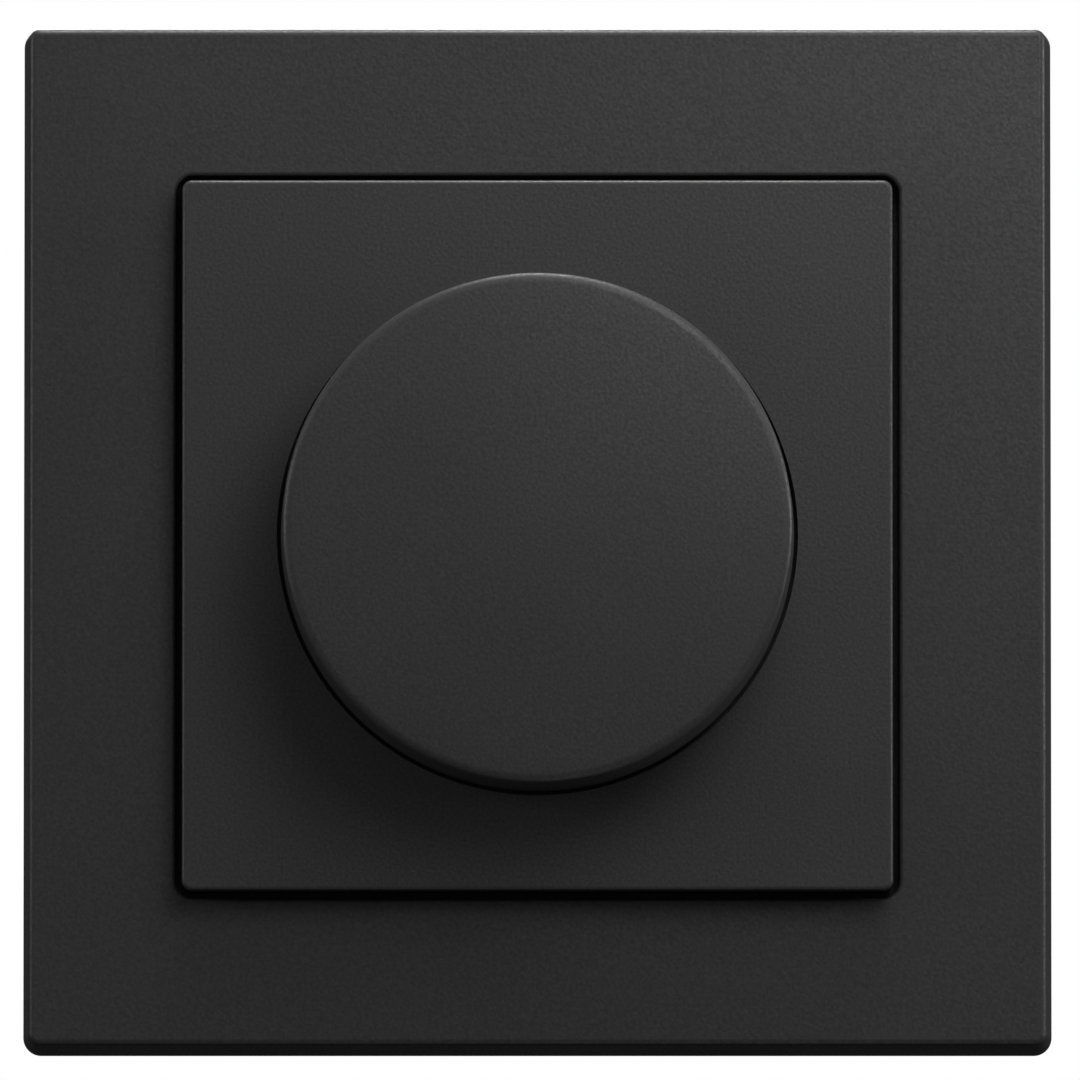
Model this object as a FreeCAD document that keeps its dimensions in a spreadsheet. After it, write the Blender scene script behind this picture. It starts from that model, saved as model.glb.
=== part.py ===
import FreeCAD
import Part
import Sketcher
import os
import re

# Rotary dimmer switch for a round wall box: knob, cover plate, cover frame and the insert with its
# claws. The pieces are drawn as the switch is seen from the front, with x to the right, y up and z
# out of the wall, and z = 0 on the wall. Each finished piece is then turned so that its y points up
# the wall as +Z and its front faces -Y. All sizes are in millimetres and all angles in degrees.

SIZES = {
    # clearances that the pieces share
    "run_gap": 0.05,
    "free_gap": 0.3,
    "board_gap": 0.4,
    # cover frame
    "frame_side": 80.1,
    "frame_depth": 9.0,
    "frame_draft": 4.0,
    "frame_corner": 1.4,
    "frame_edge": 0.5,
    "frame_wall": 2.0,
    "frame_face": 2.2,
    "inner_corner": 0.5,
    "opening_edge": 0.3,
    "collar_wall": 1.6,
    "ledge_level": 4.8,
    "ledge_thickness": 1.4,
    "ledge_reach": 2.85,
    "lug_side": 4.0,
    "frame_rib": 1.2,
    "frame_rib_spacing": 36.0,
    "frame_rib_level": 2.5,
    # cover plate
    "plate_side": 55.0,
    "plate_play": 0.55,
    "plate_proud": 3.0,
    "plate_wall": 2.0,
    "plate_skirt": 1.6,
    "plate_corner": 0.75,
    "plate_edge": 0.3,
    "plate_rib": 1.2,
    "plate_rib_depth": 3.0,
    "recess_wall": 1.4,
    "recess_base": 1.5,
    "boss_width": 16.0,
    # threaded bush and its nuts
    "bush_width": 10.0,
    "bush_clearance": 0.2,
    "bush_proud": 0.4,
    "flange_side": 15.0,
    "flange_thickness": 1.6,
    "nut_across": 14.0,
    "plate_nut_height": 2.4,
    "bush_nut_height": 2.0,
    # support ring
    "ring_margin": 2.6,
    "ring_thickness": 1.2,
    "ring_corner": 3.0,
    "box_screw_spacing": 60.0,
    "box_slot_width": 4.0,
    "box_slot_length": 7.5,
    "ring_hole": 3.3,
    "ring_hole_setback": 3.5,
    "ring_notch": 2.4,
    "bead_width": 2.4,
    "bead_height": 0.6,
    "bead_setback": 4.45,
    "bead_inset": 18.45,
    "bead_start": 8.0,
    "bead_stop": 10.45,
    "trimmer_access": 4.0,
    # knob
    "knob_width": 39.25,
    "knob_depth": 12.6,
    "knob_sink": 0.6,
    "knob_draft": 1.1,
    "knob_crown": 0.45,
    "knob_wall": 1.6,
    "knob_face": 1.8,
    "knob_edge": 0.6,
    "hub_width": 9.6,
    "hub_slot": 1.0,
    "hub_slot_depth": 5.0,
    "hub_ring_wall": 0.8,
    "hub_ring_height": 2.0,
    "hub_ring_split": 1.4,
    "knob_rib": 1.0,
    "knob_rib_count": 6,
    # shaft
    "shaft_width": 6.0,
    "shaft_flat": 4.5,
    "shaft_end_gap": 0.2,
    "shaft_collar": 9.0,
    "shaft_collar_height": 1.5,
    "push_travel": 1.5,
    # housing
    "can_width": 52.0,
    "can_depth": 32.0,
    "can_wall": 1.6,
    "can_edge": 1.2,
    "channel_width": 13.0,
    "channel_floor": 18.5,
    "ear_thickness": 1.7,
    "ear_reach": 3.0,
    "ear_height": 4.0,
    "can_screw_spacing": 42.4,
    "can_screw_width": 2.2,
    "can_screw_length": 10.0,
    "can_screw_head": 4.6,
    "can_screw_head_height": 1.4,
    "can_boss_wall": 1.25,
    "can_web": 2.4,
    "can_rib": 1.6,
    "can_rib_reach": 2.1,
    "can_rib_angle": 32.0,
    "can_flange": 0.8,
    "can_flange_height": 1.5,
    "grip_rib": 1.2,
    "grip_rib_height": 0.5,
    "grip_rib_length": 24.0,
    "funnel_edge": 0.6,
    "back_field_length": 17.0,
    "back_field_height": 20.0,
    "back_field_depth": 0.3,
    "ejector_mark": 4.5,
    "ejector_mark_depth": 0.15,
    "ejector_column": 12.5,
    "ejector_row": 15.0,
    # rotary resistor
    "pot_side": 16.0,
    "pot_depth": 5.8,
    "pot_floor": 1.0,
    "pot_bore": 13.8,
    "track_thickness": 0.6,
    "rotor_width": 12.6,
    "rotor_height": 3.0,
    "wiper_sheet": 0.2,
    "wiper_radius": 4.9,
    "wiper_tip": 1.0,
    # push switch
    "switch_depth": 7.6,
    "switch_floor": 1.0,
    "switch_bore": 13.6,
    "slider_height": 2.0,
    "slider_peg": 3.0,
    "slider_peg_height": 1.25,
    "spring_width": 5.0,
    "spring_wire": 0.3,
    "spring_turns": 3,
    "bridge_length": 9.0,
    "bridge_width": 2.0,
    "bridge_sheet": 0.4,
    "contact_spacing": 7.2,
    "contact_row": 4.6,
    "contact_width": 1.8,
    "contact_pin": 0.9,
    "contact_gap": 0.2,
    # circuit board and what it carries
    "board_thickness": 1.6,
    "choke_width": 19.0,
    "choke_bore": 9.0,
    "choke_height": 8.0,
    "choke_row": 5.2,
    "winding_wall": 0.7,
    "winding_sector": 320.0,
    "film_length": 17.0,
    "film_width": 8.0,
    "film_height": 12.0,
    "film_row": 10.5,
    "film_edge": 0.8,
    "electrolytic_width": 8.0,
    "electrolytic_height": 11.0,
    "electrolytic_column": 14.2,
    "electrolytic_row": 13.3,
    "crimp_depth": 0.35,
    "crimp_width": 1.0,
    "varistor_width": 8.6,
    "varistor_thickness": 3.6,
    "varistor_column": 13.2,
    "varistor_row": 12.8,
    "varistor_stand": 1.1,
    "lead_width": 0.6,
    "lead_spacing": 5.0,
    "resistor_width": 2.3,
    "resistor_length": 6.5,
    "resistor_pitch": 3.0,
    "resistor_column": 20.0,
    "resistor_row": 6.8,
    "chip_length": 9.6,
    "chip_width": 6.4,
    "chip_height": 3.3,
    "chip_stand": 0.6,
    "chip_column": 14.4,
    "chip_row": 6.2,
    "chip_pin": 0.5,
    "chip_pin_pitch": 2.54,
    "chip_pin_count": 4,
    # power switch chip on the ring
    "triac_width": 10.0,
    "triac_length": 15.0,
    "triac_body_length": 9.0,
    "triac_thickness": 4.5,
    "triac_tab": 1.3,
    "triac_column": 13.3,
    "triac_row": 7.7,
    "triac_pad_thickness": 0.4,
    "triac_pad_margin": 0.4,
    "triac_hole_setback": 2.7,
    "triac_lead": 0.8,
    "triac_lead_pitch": 2.54,
    "rivet_width": 3.0,
    "rivet_head": 5.2,
    "rivet_head_height": 0.7,
    # fuse
    "fuse_length": 20.0,
    "fuse_width": 5.2,
    "fuse_row": 13.2,
    "cap_length": 5.0,
    "cap_sheet": 0.4,
    "tube_wall": 0.6,
    "clip_sheet": 0.4,
    "clip_length": 4.0,
    "clip_height": 5.6,
    "clip_inset": 2.5,
    # trimmer
    "trimmer_side": 6.5,
    "trimmer_height": 5.0,
    "trimmer_setback": 1.0,
    "trimmer_column": 14.0,
    "trimmer_row": 12.8,
    "trimmer_rotor": 3.6,
    "trimmer_rotor_height": 2.2,
    "trimmer_slot": 0.6,
    "trimmer_slot_depth": 0.8,
    # terminals
    "cage_length": 6.5,
    "cage_width": 7.0,
    "cage_height": 8.0,
    "cage_column": 18.8,
    "cage_row": 5.5,
    "wire_hole": 3.6,
    "wire_lead_in": 0.15,
    "cage_tab": 1.4,
    "cage_tab_sheet": 0.6,
    "terminal_screw_width": 3.4,
    "terminal_screw_length": 2.6,
    "terminal_slot": 0.6,
    "terminal_slot_depth": 0.9,
    "tool_hole": 5.3,
    # claws
    "claw_row": 20.2,
    "claw_level": 4.8,
    "claw_sheet": 1.2,
    "claw_width": 9.0,
    "claw_eye": 1.4,
    "claw_pin": 1.5,
    "claw_leg_reach": 7.0,
    "claw_leg_slot": 3.4,
    "claw_slot_start": 2.7,
    "claw_length": 21.2,
    "claw_tip_reach": 3.2,
    "claw_tooth": 0.9,
    "claw_tooth_count": 4,
    "claw_screw_row": 25.0,
    "claw_screw_width": 3.0,
    "claw_screw_length": 9.0,
    "claw_screw_head": 5.0,
    "claw_screw_head_height": 1.8,
    "claw_nut_side": 5.0,
    "claw_nut_height": 2.0,
    "claw_nut_gap": 0.15,
    "screw_slot": 0.8,
    "screw_slot_depth": 0.9,
    "hole_clearance": 0.2,
}

# Levels and places that follow from the sizes above, as rules in the same names.
RULES = {
    "opening_side": "plate_side + 2 * plate_play",
    "collar_side": "opening_side + 2 * collar_wall",
    "frame_inside": "frame_side - 2 * frame_wall",
    "ring_side": "frame_inside - 2 * ring_margin",
    "bead_row": "ring_side / 2 - bead_setback",
    "bead_length": "ring_side - 2 * bead_inset",
    "bead_end": "ring_side / 2 - bead_stop",
    "ledge_back": "ledge_level - ledge_thickness",
    "ledge_hole": "opening_side - 2 * ledge_reach",
    "frame_ceiling": "frame_depth - frame_face",
    "plate_front": "frame_depth + plate_proud",
    "plate_ceiling": "plate_front - plate_wall",
    "boss_back": "ring_thickness + bush_nut_height + bush_clearance",
    "bush_hole": "bush_width + 2 * bush_clearance",
    "bush_front": "recess_floor + plate_nut_height + bush_proud",
    "shaft_bore": "shaft_width + 2 * run_gap",
    "flat_level": "shaft_flat - shaft_width / 2",
    "knob_back": "plate_front - knob_sink",
    "knob_front": "knob_back + knob_depth",
    "knob_ceiling": "knob_front - knob_face",
    "knob_shoulder": "knob_front - knob_crown",
    "knob_radius": "knob_width / 2",
    "crown_radius": "(knob_radius^2 + knob_crown^2) / (2 * knob_crown)",
    "knob_flare": "knob_depth * tan(knob_draft)",
    "recess_width": "2 * (knob_radius + knob_flare + free_gap)",
    "recess_floor": "knob_back - push_travel - free_gap",
    "hub_back": "bush_front + push_travel + free_gap",
    "hub_ring_back": "hub_back + 0.5 * hub_ring_height",
    "hub_ring_front": "hub_ring_back + hub_ring_height",
    "shaft_front": "knob_ceiling - 2 * shaft_end_gap",
    "pot_back": "0 - flange_thickness - pot_depth",
    "pot_base": "pot_back + pot_floor",
    "track_front": "pot_base + track_thickness",
    "rotor_back": "track_front + 4 * wiper_sheet",
    "switch_back": "pot_back - switch_depth",
    "switch_base": "switch_back + switch_floor",
    "collar_front": "pot_back - 2 * run_gap",
    "collar_back": "collar_front - shaft_collar_height",
    "slider_front": "collar_back - run_gap",
    "slider_back": "slider_front - slider_height",
    "board_front": "switch_back",
    "board_back": "board_front - board_thickness",
    "can_base": "can_wall - can_depth",
    "can_inside": "can_width / 2 - can_wall",
    "can_screw_x": "can_screw_spacing / 2",
    "can_boss": "can_screw_width / 2 + can_boss_wall",
    "triac_front": "0 - triac_pad_thickness",
    "triac_bottom": "triac_row - triac_length / 2",
    "triac_hole_row": "triac_row + triac_length / 2 - triac_hole_setback",
    "fuse_level": "board_front + clip_sheet + run_gap + fuse_width / 2",
    "clip_column": "fuse_length / 2 - clip_inset",
    "trimmer_front": "0 - trimmer_setback",
    "trimmer_back": "trimmer_front - trimmer_height",
    "rotor_top": "0 - free_gap",
    "cage_front": "can_base + cage_height",
    "cage_level": "can_base + cage_height / 2",
    "screw_start": "cage_column + wire_hole / 2 + run_gap",
    "claw_under": "0 - claw_level - claw_sheet / 2",
    "claw_nut_front": "claw_under - claw_nut_gap",
}

FACE_TURN = FreeCAD.Rotation(FreeCAD.Vector(1, 0, 0), 90)
AXIS_TURNS = {
    "x": FreeCAD.Rotation(FreeCAD.Vector(0, 1, 0), 90),
    "y": FreeCAD.Rotation(FreeCAD.Vector(1, 0, 0), -90),
    "z": FreeCAD.Rotation(),
}
NAME = re.compile(r"[a-z_]+")
LEVEL_TOLERANCE = 1e-4

DOC = FreeCAD.newDocument("dimmer")
SHEET = DOC.addObject("Spreadsheet::Sheet", "Sizes")
PIECES = []


def write_sizes():
    """Put every driving size into the sheet under its own name."""
    for row, (name, size) in enumerate(SIZES.items(), 1):
        SHEET.set(f"A{row}", name)
        SHEET.set(f"B{row}", str(size))
        SHEET.setAlias(f"B{row}", name)
    DOC.recompute()


def full(rule):
    """Spell out a rule so that every name in it is a cell of the sheet."""
    def swap(match):
        name = match.group(0)
        if name in RULES:
            return f"({full(RULES[name])})"
        if name in SIZES:
            return f"Sizes.{name}"
        return name
    return NAME.sub(swap, str(rule))


def value(rule):
    """Work out a rule from the sheet, as a plain number."""
    return float(SHEET.evalExpression(full(rule)))


def bind(item, target, rule):
    """Tie a property, a constraint or a placement value to a rule."""
    item.setExpression(target, full(rule))


class Drawing:
    """A sketch in a body, parallel to one of its origin planes, with every length tied to the sheet."""

    def __init__(self, body, name, level="0", plane="XY_Plane"):
        self.body = body
        self.sketch = body.newObject("Sketcher::SketchObject", name)
        support = next(f for f in body.Origin.OriginFeatures if f.Role == plane)
        self.sketch.AttachmentSupport = (support, "")
        self.sketch.MapMode = "FlatFace"
        bind(self.sketch, "AttachmentOffset.Base.z", level)

    def fix(self, kind, curve, spot, rule):
        """Tie the distance of a point from the sketch's origin, or a radius, to a rule."""
        number = self.sketch.ConstraintCount
        if kind == "Radius":
            self.sketch.addConstraint(Sketcher.Constraint(kind, curve, value(rule)))
        else:
            self.sketch.addConstraint(Sketcher.Constraint(kind, -1, 1, curve, spot, value(rule)))
        if NAME.search(str(rule)):
            bind(self.sketch, f"Constraints[{number}]", rule)

    def circle(self, across, x="0", y="0"):
        """Draw a circle of the given diameter about a point."""
        curve = self.sketch.GeometryCount
        middle = FreeCAD.Vector(value(x), value(y), 0)
        radius = f"({across}) / 2"
        self.sketch.addGeometry(Part.Circle(middle, FreeCAD.Vector(0, 0, 1), value(radius)))
        self.fix("DistanceX", curve, 3, x)
        self.fix("DistanceY", curve, 3, y)
        self.fix("Radius", curve, 0, radius)

    def outline(self, steps):
        """Draw a closed outline from steps (x, y), or (x, y, centre x, centre y, turn) before an arc.

        The turn is 1 where the arc runs counter-clockwise to the next step, and -1 where it runs
        clockwise.
        """
        points = [FreeCAD.Vector(value(step[0]), value(step[1]), 0) for step in steps]
        first = self.sketch.GeometryCount
        heads = []
        for index, step in enumerate(steps):
            start = points[index]
            end = points[(index + 1) % len(points)]
            if len(step) == 2:
                self.sketch.addGeometry(Part.LineSegment(start, end))
                heads.append(1)
                continue
            middle = FreeCAD.Vector(value(step[2]), value(step[3]), 0)
            circle = Part.Circle(middle, FreeCAD.Vector(0, 0, 1), (start - middle).Length)
            if step[4] > 0:
                arc = Part.ArcOfCircle(circle, circle.parameter(start), circle.parameter(end))
                heads.append(1)
            else:
                arc = Part.ArcOfCircle(circle, circle.parameter(end), circle.parameter(start))
                heads.append(2)
            self.sketch.addGeometry(arc)
        joins = []
        for index, head in enumerate(heads):
            after = (index + 1) % len(heads)
            joins.append(Sketcher.Constraint(
                "Coincident", first + index, 3 - head, first + after, heads[after]))
        self.sketch.addConstraint(joins)
        for index, step in enumerate(steps):
            self.fix("DistanceX", first + index, heads[index], step[0])
            self.fix("DistanceY", first + index, heads[index], step[1])
            if len(step) > 2:
                chord = points[(index + 1) % len(points)] - points[index]
                if abs(chord.y) > abs(chord.x):
                    self.fix("DistanceX", first + index, 3, step[2])
                else:
                    self.fix("DistanceY", first + index, 3, step[3])

    def box(self, low_x, low_y, high_x, high_y):
        """Draw a rectangle between two corners."""
        self.outline([(low_x, low_y), (high_x, low_y), (high_x, high_y), (low_x, high_y)])

    def block(self, x, y, length, width):
        """Draw a rectangle about a middle point."""
        self.box(
            f"({x}) - ({length}) / 2", f"({y}) - ({width}) / 2",
            f"({x}) + ({length}) / 2", f"({y}) + ({width}) / 2",
        )

    def square(self, side, corner):
        """Draw a square about the origin with rounded corners."""
        end = f"({side}) / 2"
        run = f"({side}) / 2 - ({corner})"
        self.outline([
            (f"0 - ({run})", f"0 - ({end})"),
            (run, f"0 - ({end})", run, f"0 - ({run})", 1),
            (end, f"0 - ({run})"),
            (end, run, run, run, 1),
            (run, end),
            (f"0 - ({run})", end, f"0 - ({run})", run, 1),
            (f"0 - ({end})", run),
            (f"0 - ({end})", f"0 - ({run})", f"0 - ({run})", f"0 - ({run})", 1),
        ])

    def slot(self, x, y, length, width):
        """Draw a slot along x with round ends about a middle point."""
        reach = f"(({length}) - ({width})) / 2"
        left = f"({x}) - {reach}"
        right = f"({x}) + {reach}"
        low = f"({y}) - ({width}) / 2"
        high = f"({y}) + ({width}) / 2"
        self.outline([(left, low), (right, low, right, y, 1), (right, high), (left, high, left, y, 1)])

    def upright_slot(self, x, y, length, width):
        """Draw a slot along y with round ends about a middle point."""
        reach = f"(({length}) - ({width})) / 2"
        low = f"({y}) - {reach}"
        high = f"({y}) + {reach}"
        left = f"({x}) - ({width}) / 2"
        right = f"({x}) + ({width}) / 2"
        self.outline([(right, low), (right, high, x, high, 1), (left, high), (left, low, x, low, 1)])

    def flatted_circle(self, across, flat):
        """Draw a circle about the origin that a flat cuts at a height above the middle."""
        half = f"sqrt((({across}) / 2)^2 - ({flat})^2)"
        self.outline([(half, flat), (f"0 - {half}", flat, "0", "0", 1)])

    def bar(self, near, far, thickness, angle):
        """Draw a straight bar that runs outwards from the origin at an angle."""
        corners = []
        for reach, side in ((near, -1), (far, -1), (far, 1), (near, 1)):
            x = f"({reach}) * cos({angle}) - {side} * ({thickness}) / 2 * sin({angle})"
            y = f"({reach}) * sin({angle}) + {side} * ({thickness}) / 2 * cos({angle})"
            corners.append((x, y))
        self.outline(corners)

    def can(self, inset):
        """Draw the round outline of the housing with its two claw channels, drawn in by an inset."""
        radius = f"can_width / 2 - ({inset})"
        side = f"channel_width / 2 + ({inset})"
        floor = f"channel_floor - ({inset})"
        meet = f"sqrt(({radius})^2 - ({side})^2)"
        self.outline([
            (side, f"0 - {meet}", "0", "0", 1),
            (side, meet),
            (side, floor),
            (f"0 - ({side})", floor),
            (f"0 - ({side})", meet, "0", "0", 1),
            (f"0 - ({side})", f"0 - {meet}"),
            (f"0 - ({side})", f"0 - ({floor})"),
            (side, f"0 - ({floor})"),
        ])

    def pad(self, length, taper=None, both_ways=False):
        """Raise the sketch along its normal, or equally to both sides."""
        feature = self.body.newObject("PartDesign::Pad", self.sketch.Name + "_pad")
        feature.Profile = self.sketch
        feature.Midplane = both_ways
        bind(feature, "Length", length)
        if taper:
            bind(feature, "TaperAngle", f"0 - {taper}")
        return feature

    def pocket(self, length=None, both_ways=False):
        """Cut the sketch along its normal for a length, or through everything in front of it."""
        feature = self.body.newObject("PartDesign::Pocket", self.sketch.Name + "_pocket")
        feature.Profile = self.sketch
        feature.Reversed = not both_ways
        feature.Midplane = both_ways
        if length is None:
            feature.Type = "ThroughAll"
        else:
            bind(feature, "Length", length)
        return feature

    def revolve(self):
        """Turn the sketch once round its vertical axis."""
        feature = self.body.newObject("PartDesign::Revolution", self.sketch.Name + "_turned")
        feature.Profile = self.sketch
        feature.ReferenceAxis = (self.sketch, ["V_Axis"])
        feature.Angle = 360
        return feature


def new_body(label):
    """Start a body that will be one finished piece or a blank for one."""
    return DOC.addObject("PartDesign::Body", label)


def treat_edges(body, kind, name, chosen):
    """Start a fillet or a chamfer on the edges of the body so far that a test chooses."""
    DOC.recompute()
    base = body.Tip
    edges = [f"Edge{number}" for number, edge in enumerate(base.Shape.Edges, 1) if chosen(edge)]
    feature = body.newObject(f"PartDesign::{kind}", name)
    feature.Base = (base, edges)
    return feature


def round_edges(body, name, radius, chosen):
    """Fillet the edges of the body so far that a test chooses."""
    bind(treat_edges(body, "Fillet", name, chosen), "Radius", radius)


def bevel_edges(body, name, size, chosen):
    """Chamfer the edges of the body so far that a test chooses."""
    bind(treat_edges(body, "Chamfer", name, chosen), "Size", size)


def at_level(rule, within=None):
    """Choose edges that lie wholly at a level, and no further from the axis than a given reach."""
    level = value(rule)
    reach = value(within) if within else float("inf")

    def test(edge):
        box = edge.BoundBox
        flat = max(abs(box.ZMin - level), abs(box.ZMax - level)) < LEVEL_TOLERANCE
        return flat and max(abs(box.XMin), abs(box.XMax), abs(box.YMin), abs(box.YMax)) < reach
    return test


def cylinder(name, across, low, high, x="0", y="0", z="0", axis="z"):
    """Make a plain cylinder between two levels on an axis through a point."""
    item = DOC.addObject("Part::Cylinder", name)
    item.Placement = FreeCAD.Placement(FreeCAD.Vector(), AXIS_TURNS[axis])
    place = {"x": x, "y": y, "z": z}
    place[axis] = f"({place[axis]}) + ({low})"
    for letter, rule in place.items():
        bind(item, f"Placement.Base.{letter}", rule)
    bind(item, "Radius", f"({across}) / 2")
    bind(item, "Height", f"({high}) - ({low})")
    return item


def block(name, x, y, low, high, length, width):
    """Make a plain block about a middle point between two levels."""
    item = DOC.addObject("Part::Box", name)
    bind(item, "Length", length)
    bind(item, "Width", width)
    bind(item, "Height", f"({high}) - ({low})")
    bind(item, "Placement.Base.x", f"({x}) - ({length}) / 2")
    bind(item, "Placement.Base.y", f"({y}) - ({width}) / 2")
    bind(item, "Placement.Base.z", low)
    return item


def fuse(name, *items):
    """Join solids into one."""
    item = DOC.addObject("Part::MultiFuse", name)
    item.Shapes = list(items)
    item.Refine = True
    return item


def cut(name, base, tool):
    """Take one solid out of another."""
    item = DOC.addObject("Part::Cut", name)
    item.Base = base
    item.Tool = tool
    return item


def mirror(name, source, axis):
    """Mirror a solid across the plane through the origin that an axis stands on."""
    item = DOC.addObject("Part::Mirroring", name)
    item.Source = source
    item.Normal = FreeCAD.Vector(axis == "x", axis == "y", 0)
    return item


def group(name, *items):
    """Hold several separate solids together as one piece of the list."""
    item = DOC.addObject("Part::Compound", name)
    item.Links = list(items)
    return item


def finish(item, label):
    """Name a finished piece, stand it up in front of the wall and put it on the list."""
    item.Label = label
    item.Placement = FreeCAD.Placement(FreeCAD.Vector(), FACE_TURN)
    PIECES.append(item)


def make_cover_frame():
    """Moulded frame: outer wall, face, collar round the opening, plate ledge, lugs and ribs."""
    body = new_body("cover_frame")
    outside = Drawing(body, "frame_outside")
    outside.square("frame_side", "frame_corner")
    outside.pad("frame_depth", taper="frame_draft")
    round_edges(body, "frame_front_edge", "frame_edge", at_level("frame_depth"))
    channel = Drawing(body, "frame_channel")
    channel.square("frame_inside", "inner_corner")
    channel.square("collar_side", "inner_corner")
    channel.pocket("frame_ceiling")
    opening = Drawing(body, "frame_opening", "ledge_level")
    opening.square("opening_side", "plate_corner + plate_play")
    opening.pocket()
    round_edges(body, "frame_opening_edge", "opening_edge",
                at_level("frame_depth", within="opening_side / 2 + frame_edge"))
    underside = Drawing(body, "frame_underside")
    underside.square("collar_side", "inner_corner")
    underside.pocket("ledge_back")
    window = Drawing(body, "frame_window")
    window.square("ledge_hole", "plate_corner")
    window.pocket()
    lugs = Drawing(body, "frame_lugs", "ring_thickness")
    corner = "(collar_side - lug_side) / 2"
    for x in (corner, f"0 - {corner}"):
        for y in (corner, f"0 - {corner}"):
            lugs.block(x, y, "lug_side", "lug_side")
    lugs.pad("ledge_back - ring_thickness")
    ribs = Drawing(body, "frame_ribs", "frame_rib_level")
    middle = "(frame_inside + collar_side) / 4"
    bridge = "(frame_inside - collar_side) / 2 + inner_corner"
    for side in ("frame_rib_spacing / 2", "0 - frame_rib_spacing / 2"):
        for across in (middle, f"0 - {middle}"):
            ribs.block(across, side, bridge, "frame_rib")
            ribs.block(side, across, "frame_rib", bridge)
    ribs.pad("frame_ceiling - frame_rib_level")
    finish(body, "cover_frame")


def make_cover_plate():
    """Square centre plate: skirt, nut recess under the knob, boss to the insert and cross ribs."""
    body = new_body("cover_plate")
    outside = Drawing(body, "plate_outside", "ledge_level")
    outside.square("plate_side", "plate_corner")
    outside.pad("plate_front - ledge_level")
    round_edges(body, "plate_front_edge", "plate_edge", at_level("plate_front"))
    hollow = Drawing(body, "plate_hollow", "ledge_level")
    hollow.square("plate_side - 2 * plate_skirt", "inner_corner")
    hollow.pocket("plate_ceiling - ledge_level")
    rib_back = "plate_ceiling - plate_rib_depth"
    inside = "plate_side - plate_skirt"
    ribs = Drawing(body, "plate_ribs", rib_back)
    ribs.block("0", "0", inside, "plate_rib")
    ribs.pad("plate_rib_depth")
    ribs = Drawing(body, "plate_cross_ribs", rib_back)
    ribs.block("0", "0", "plate_rib", inside)
    ribs.pad("plate_rib_depth")
    cup = Drawing(body, "plate_cup", "recess_floor - recess_base")
    cup.circle("recess_width + 2 * recess_wall")
    cup.pad("plate_ceiling - (recess_floor - recess_base)")
    boss = Drawing(body, "plate_boss", "boss_back")
    boss.circle("boss_width")
    boss.pad("recess_floor - boss_back")
    recess = Drawing(body, "plate_recess", "recess_floor")
    recess.circle("recess_width")
    recess.pocket()
    hole = Drawing(body, "plate_hole", "boss_back")
    hole.circle("bush_hole")
    hole.pocket()
    finish(body, "cover_plate")


def make_nut(label, back, height):
    """Hexagon nut on the bush."""
    hexagon = DOC.addObject("Part::Prism", label + "_hexagon")
    hexagon.Polygon = 6
    bind(hexagon, "Circumradius", "nut_across / sqrt(3)")
    bind(hexagon, "Height", height)
    bind(hexagon, "Placement.Base.z", back)
    bore = cylinder(label + "_bore", "bush_width + 2 * run_gap", back, f"{back} + {height}")
    finish(cut(label, hexagon, bore), label)


def make_bush():
    """Threaded bush that guides the shaft: square flange behind the ring and round neck through it."""
    body = new_body("bush")
    flange = Drawing(body, "bush_flange", "0 - flange_thickness")
    flange.square("flange_side", "inner_corner")
    flange.pad("flange_thickness")
    neck = Drawing(body, "bush_neck")
    neck.circle("bush_width")
    neck.pad("bush_front")
    bore = Drawing(body, "bush_bore", "0 - flange_thickness")
    bore.circle("shaft_bore")
    bore.pocket()
    finish(body, "bush")


def make_knob():
    """Drafted knob cup with a crowned front and rounded rim, slotted hub with flatted bore, and ribs."""
    body = new_body("knob")
    cup = Drawing(body, "knob_cup", plane="XZ_Plane")
    cup.outline([
        ("0", "knob_ceiling"),
        ("knob_radius - knob_wall", "knob_ceiling"),
        ("knob_radius + knob_flare - knob_wall", "knob_back"),
        ("knob_radius + knob_flare", "knob_back"),
        ("knob_radius", "knob_shoulder", "0", "knob_front - crown_radius", 1),
        ("0", "knob_front"),
    ])
    cup.revolve()
    round_edges(body, "knob_rim", "knob_edge", at_level("knob_shoulder"))
    hub = Drawing(body, "knob_hub", "hub_back")
    hub.circle("hub_width")
    hub.pad("knob_ceiling - hub_back")
    rib_back = "hub_ring_front + free_gap"
    rib = Drawing(body, "knob_rib", rib_back)
    rib.bar("hub_width / 2 - free_gap", "knob_radius - knob_wall / 2", "knob_rib", "0")
    spoke = rib.pad(f"knob_ceiling - ({rib_back})")
    spokes = body.newObject("PartDesign::PolarPattern", "knob_ribs")
    spokes.Originals = [spoke]
    spokes.Axis = (next(f for f in body.Origin.OriginFeatures if f.Role == "Z_Axis"), [""])
    spokes.Angle = 360
    bind(spokes, "Occurrences", "knob_rib_count")
    body.Tip = spokes
    bore = Drawing(body, "knob_bore", "hub_back")
    bore.flatted_circle("shaft_bore", "flat_level + run_gap")
    bore.pocket("shaft_front + shaft_end_gap - hub_back")
    slot = Drawing(body, "knob_hub_slot", "hub_back")
    slot.block("0", "0", "hub_slot", "hub_width + free_gap")
    slot.pocket("hub_slot_depth")
    finish(body, "knob")


def make_hub_ring():
    """Split spring ring that closes the slotted hub on the shaft."""
    inner = "hub_width + 2 * run_gap"
    outer = f"{inner} + 2 * hub_ring_wall"
    ring = cut("hub_ring_whole",
               cylinder("hub_ring_outer", outer, "hub_ring_back", "hub_ring_front"),
               cylinder("hub_ring_inner", inner, "hub_ring_back", "hub_ring_front"))
    gap = block("hub_ring_gap", "hub_width / 2", "0", "hub_ring_back", "hub_ring_front",
                "hub_width", "hub_ring_split")
    finish(cut("hub_ring", ring, gap), "hub_ring")


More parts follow.
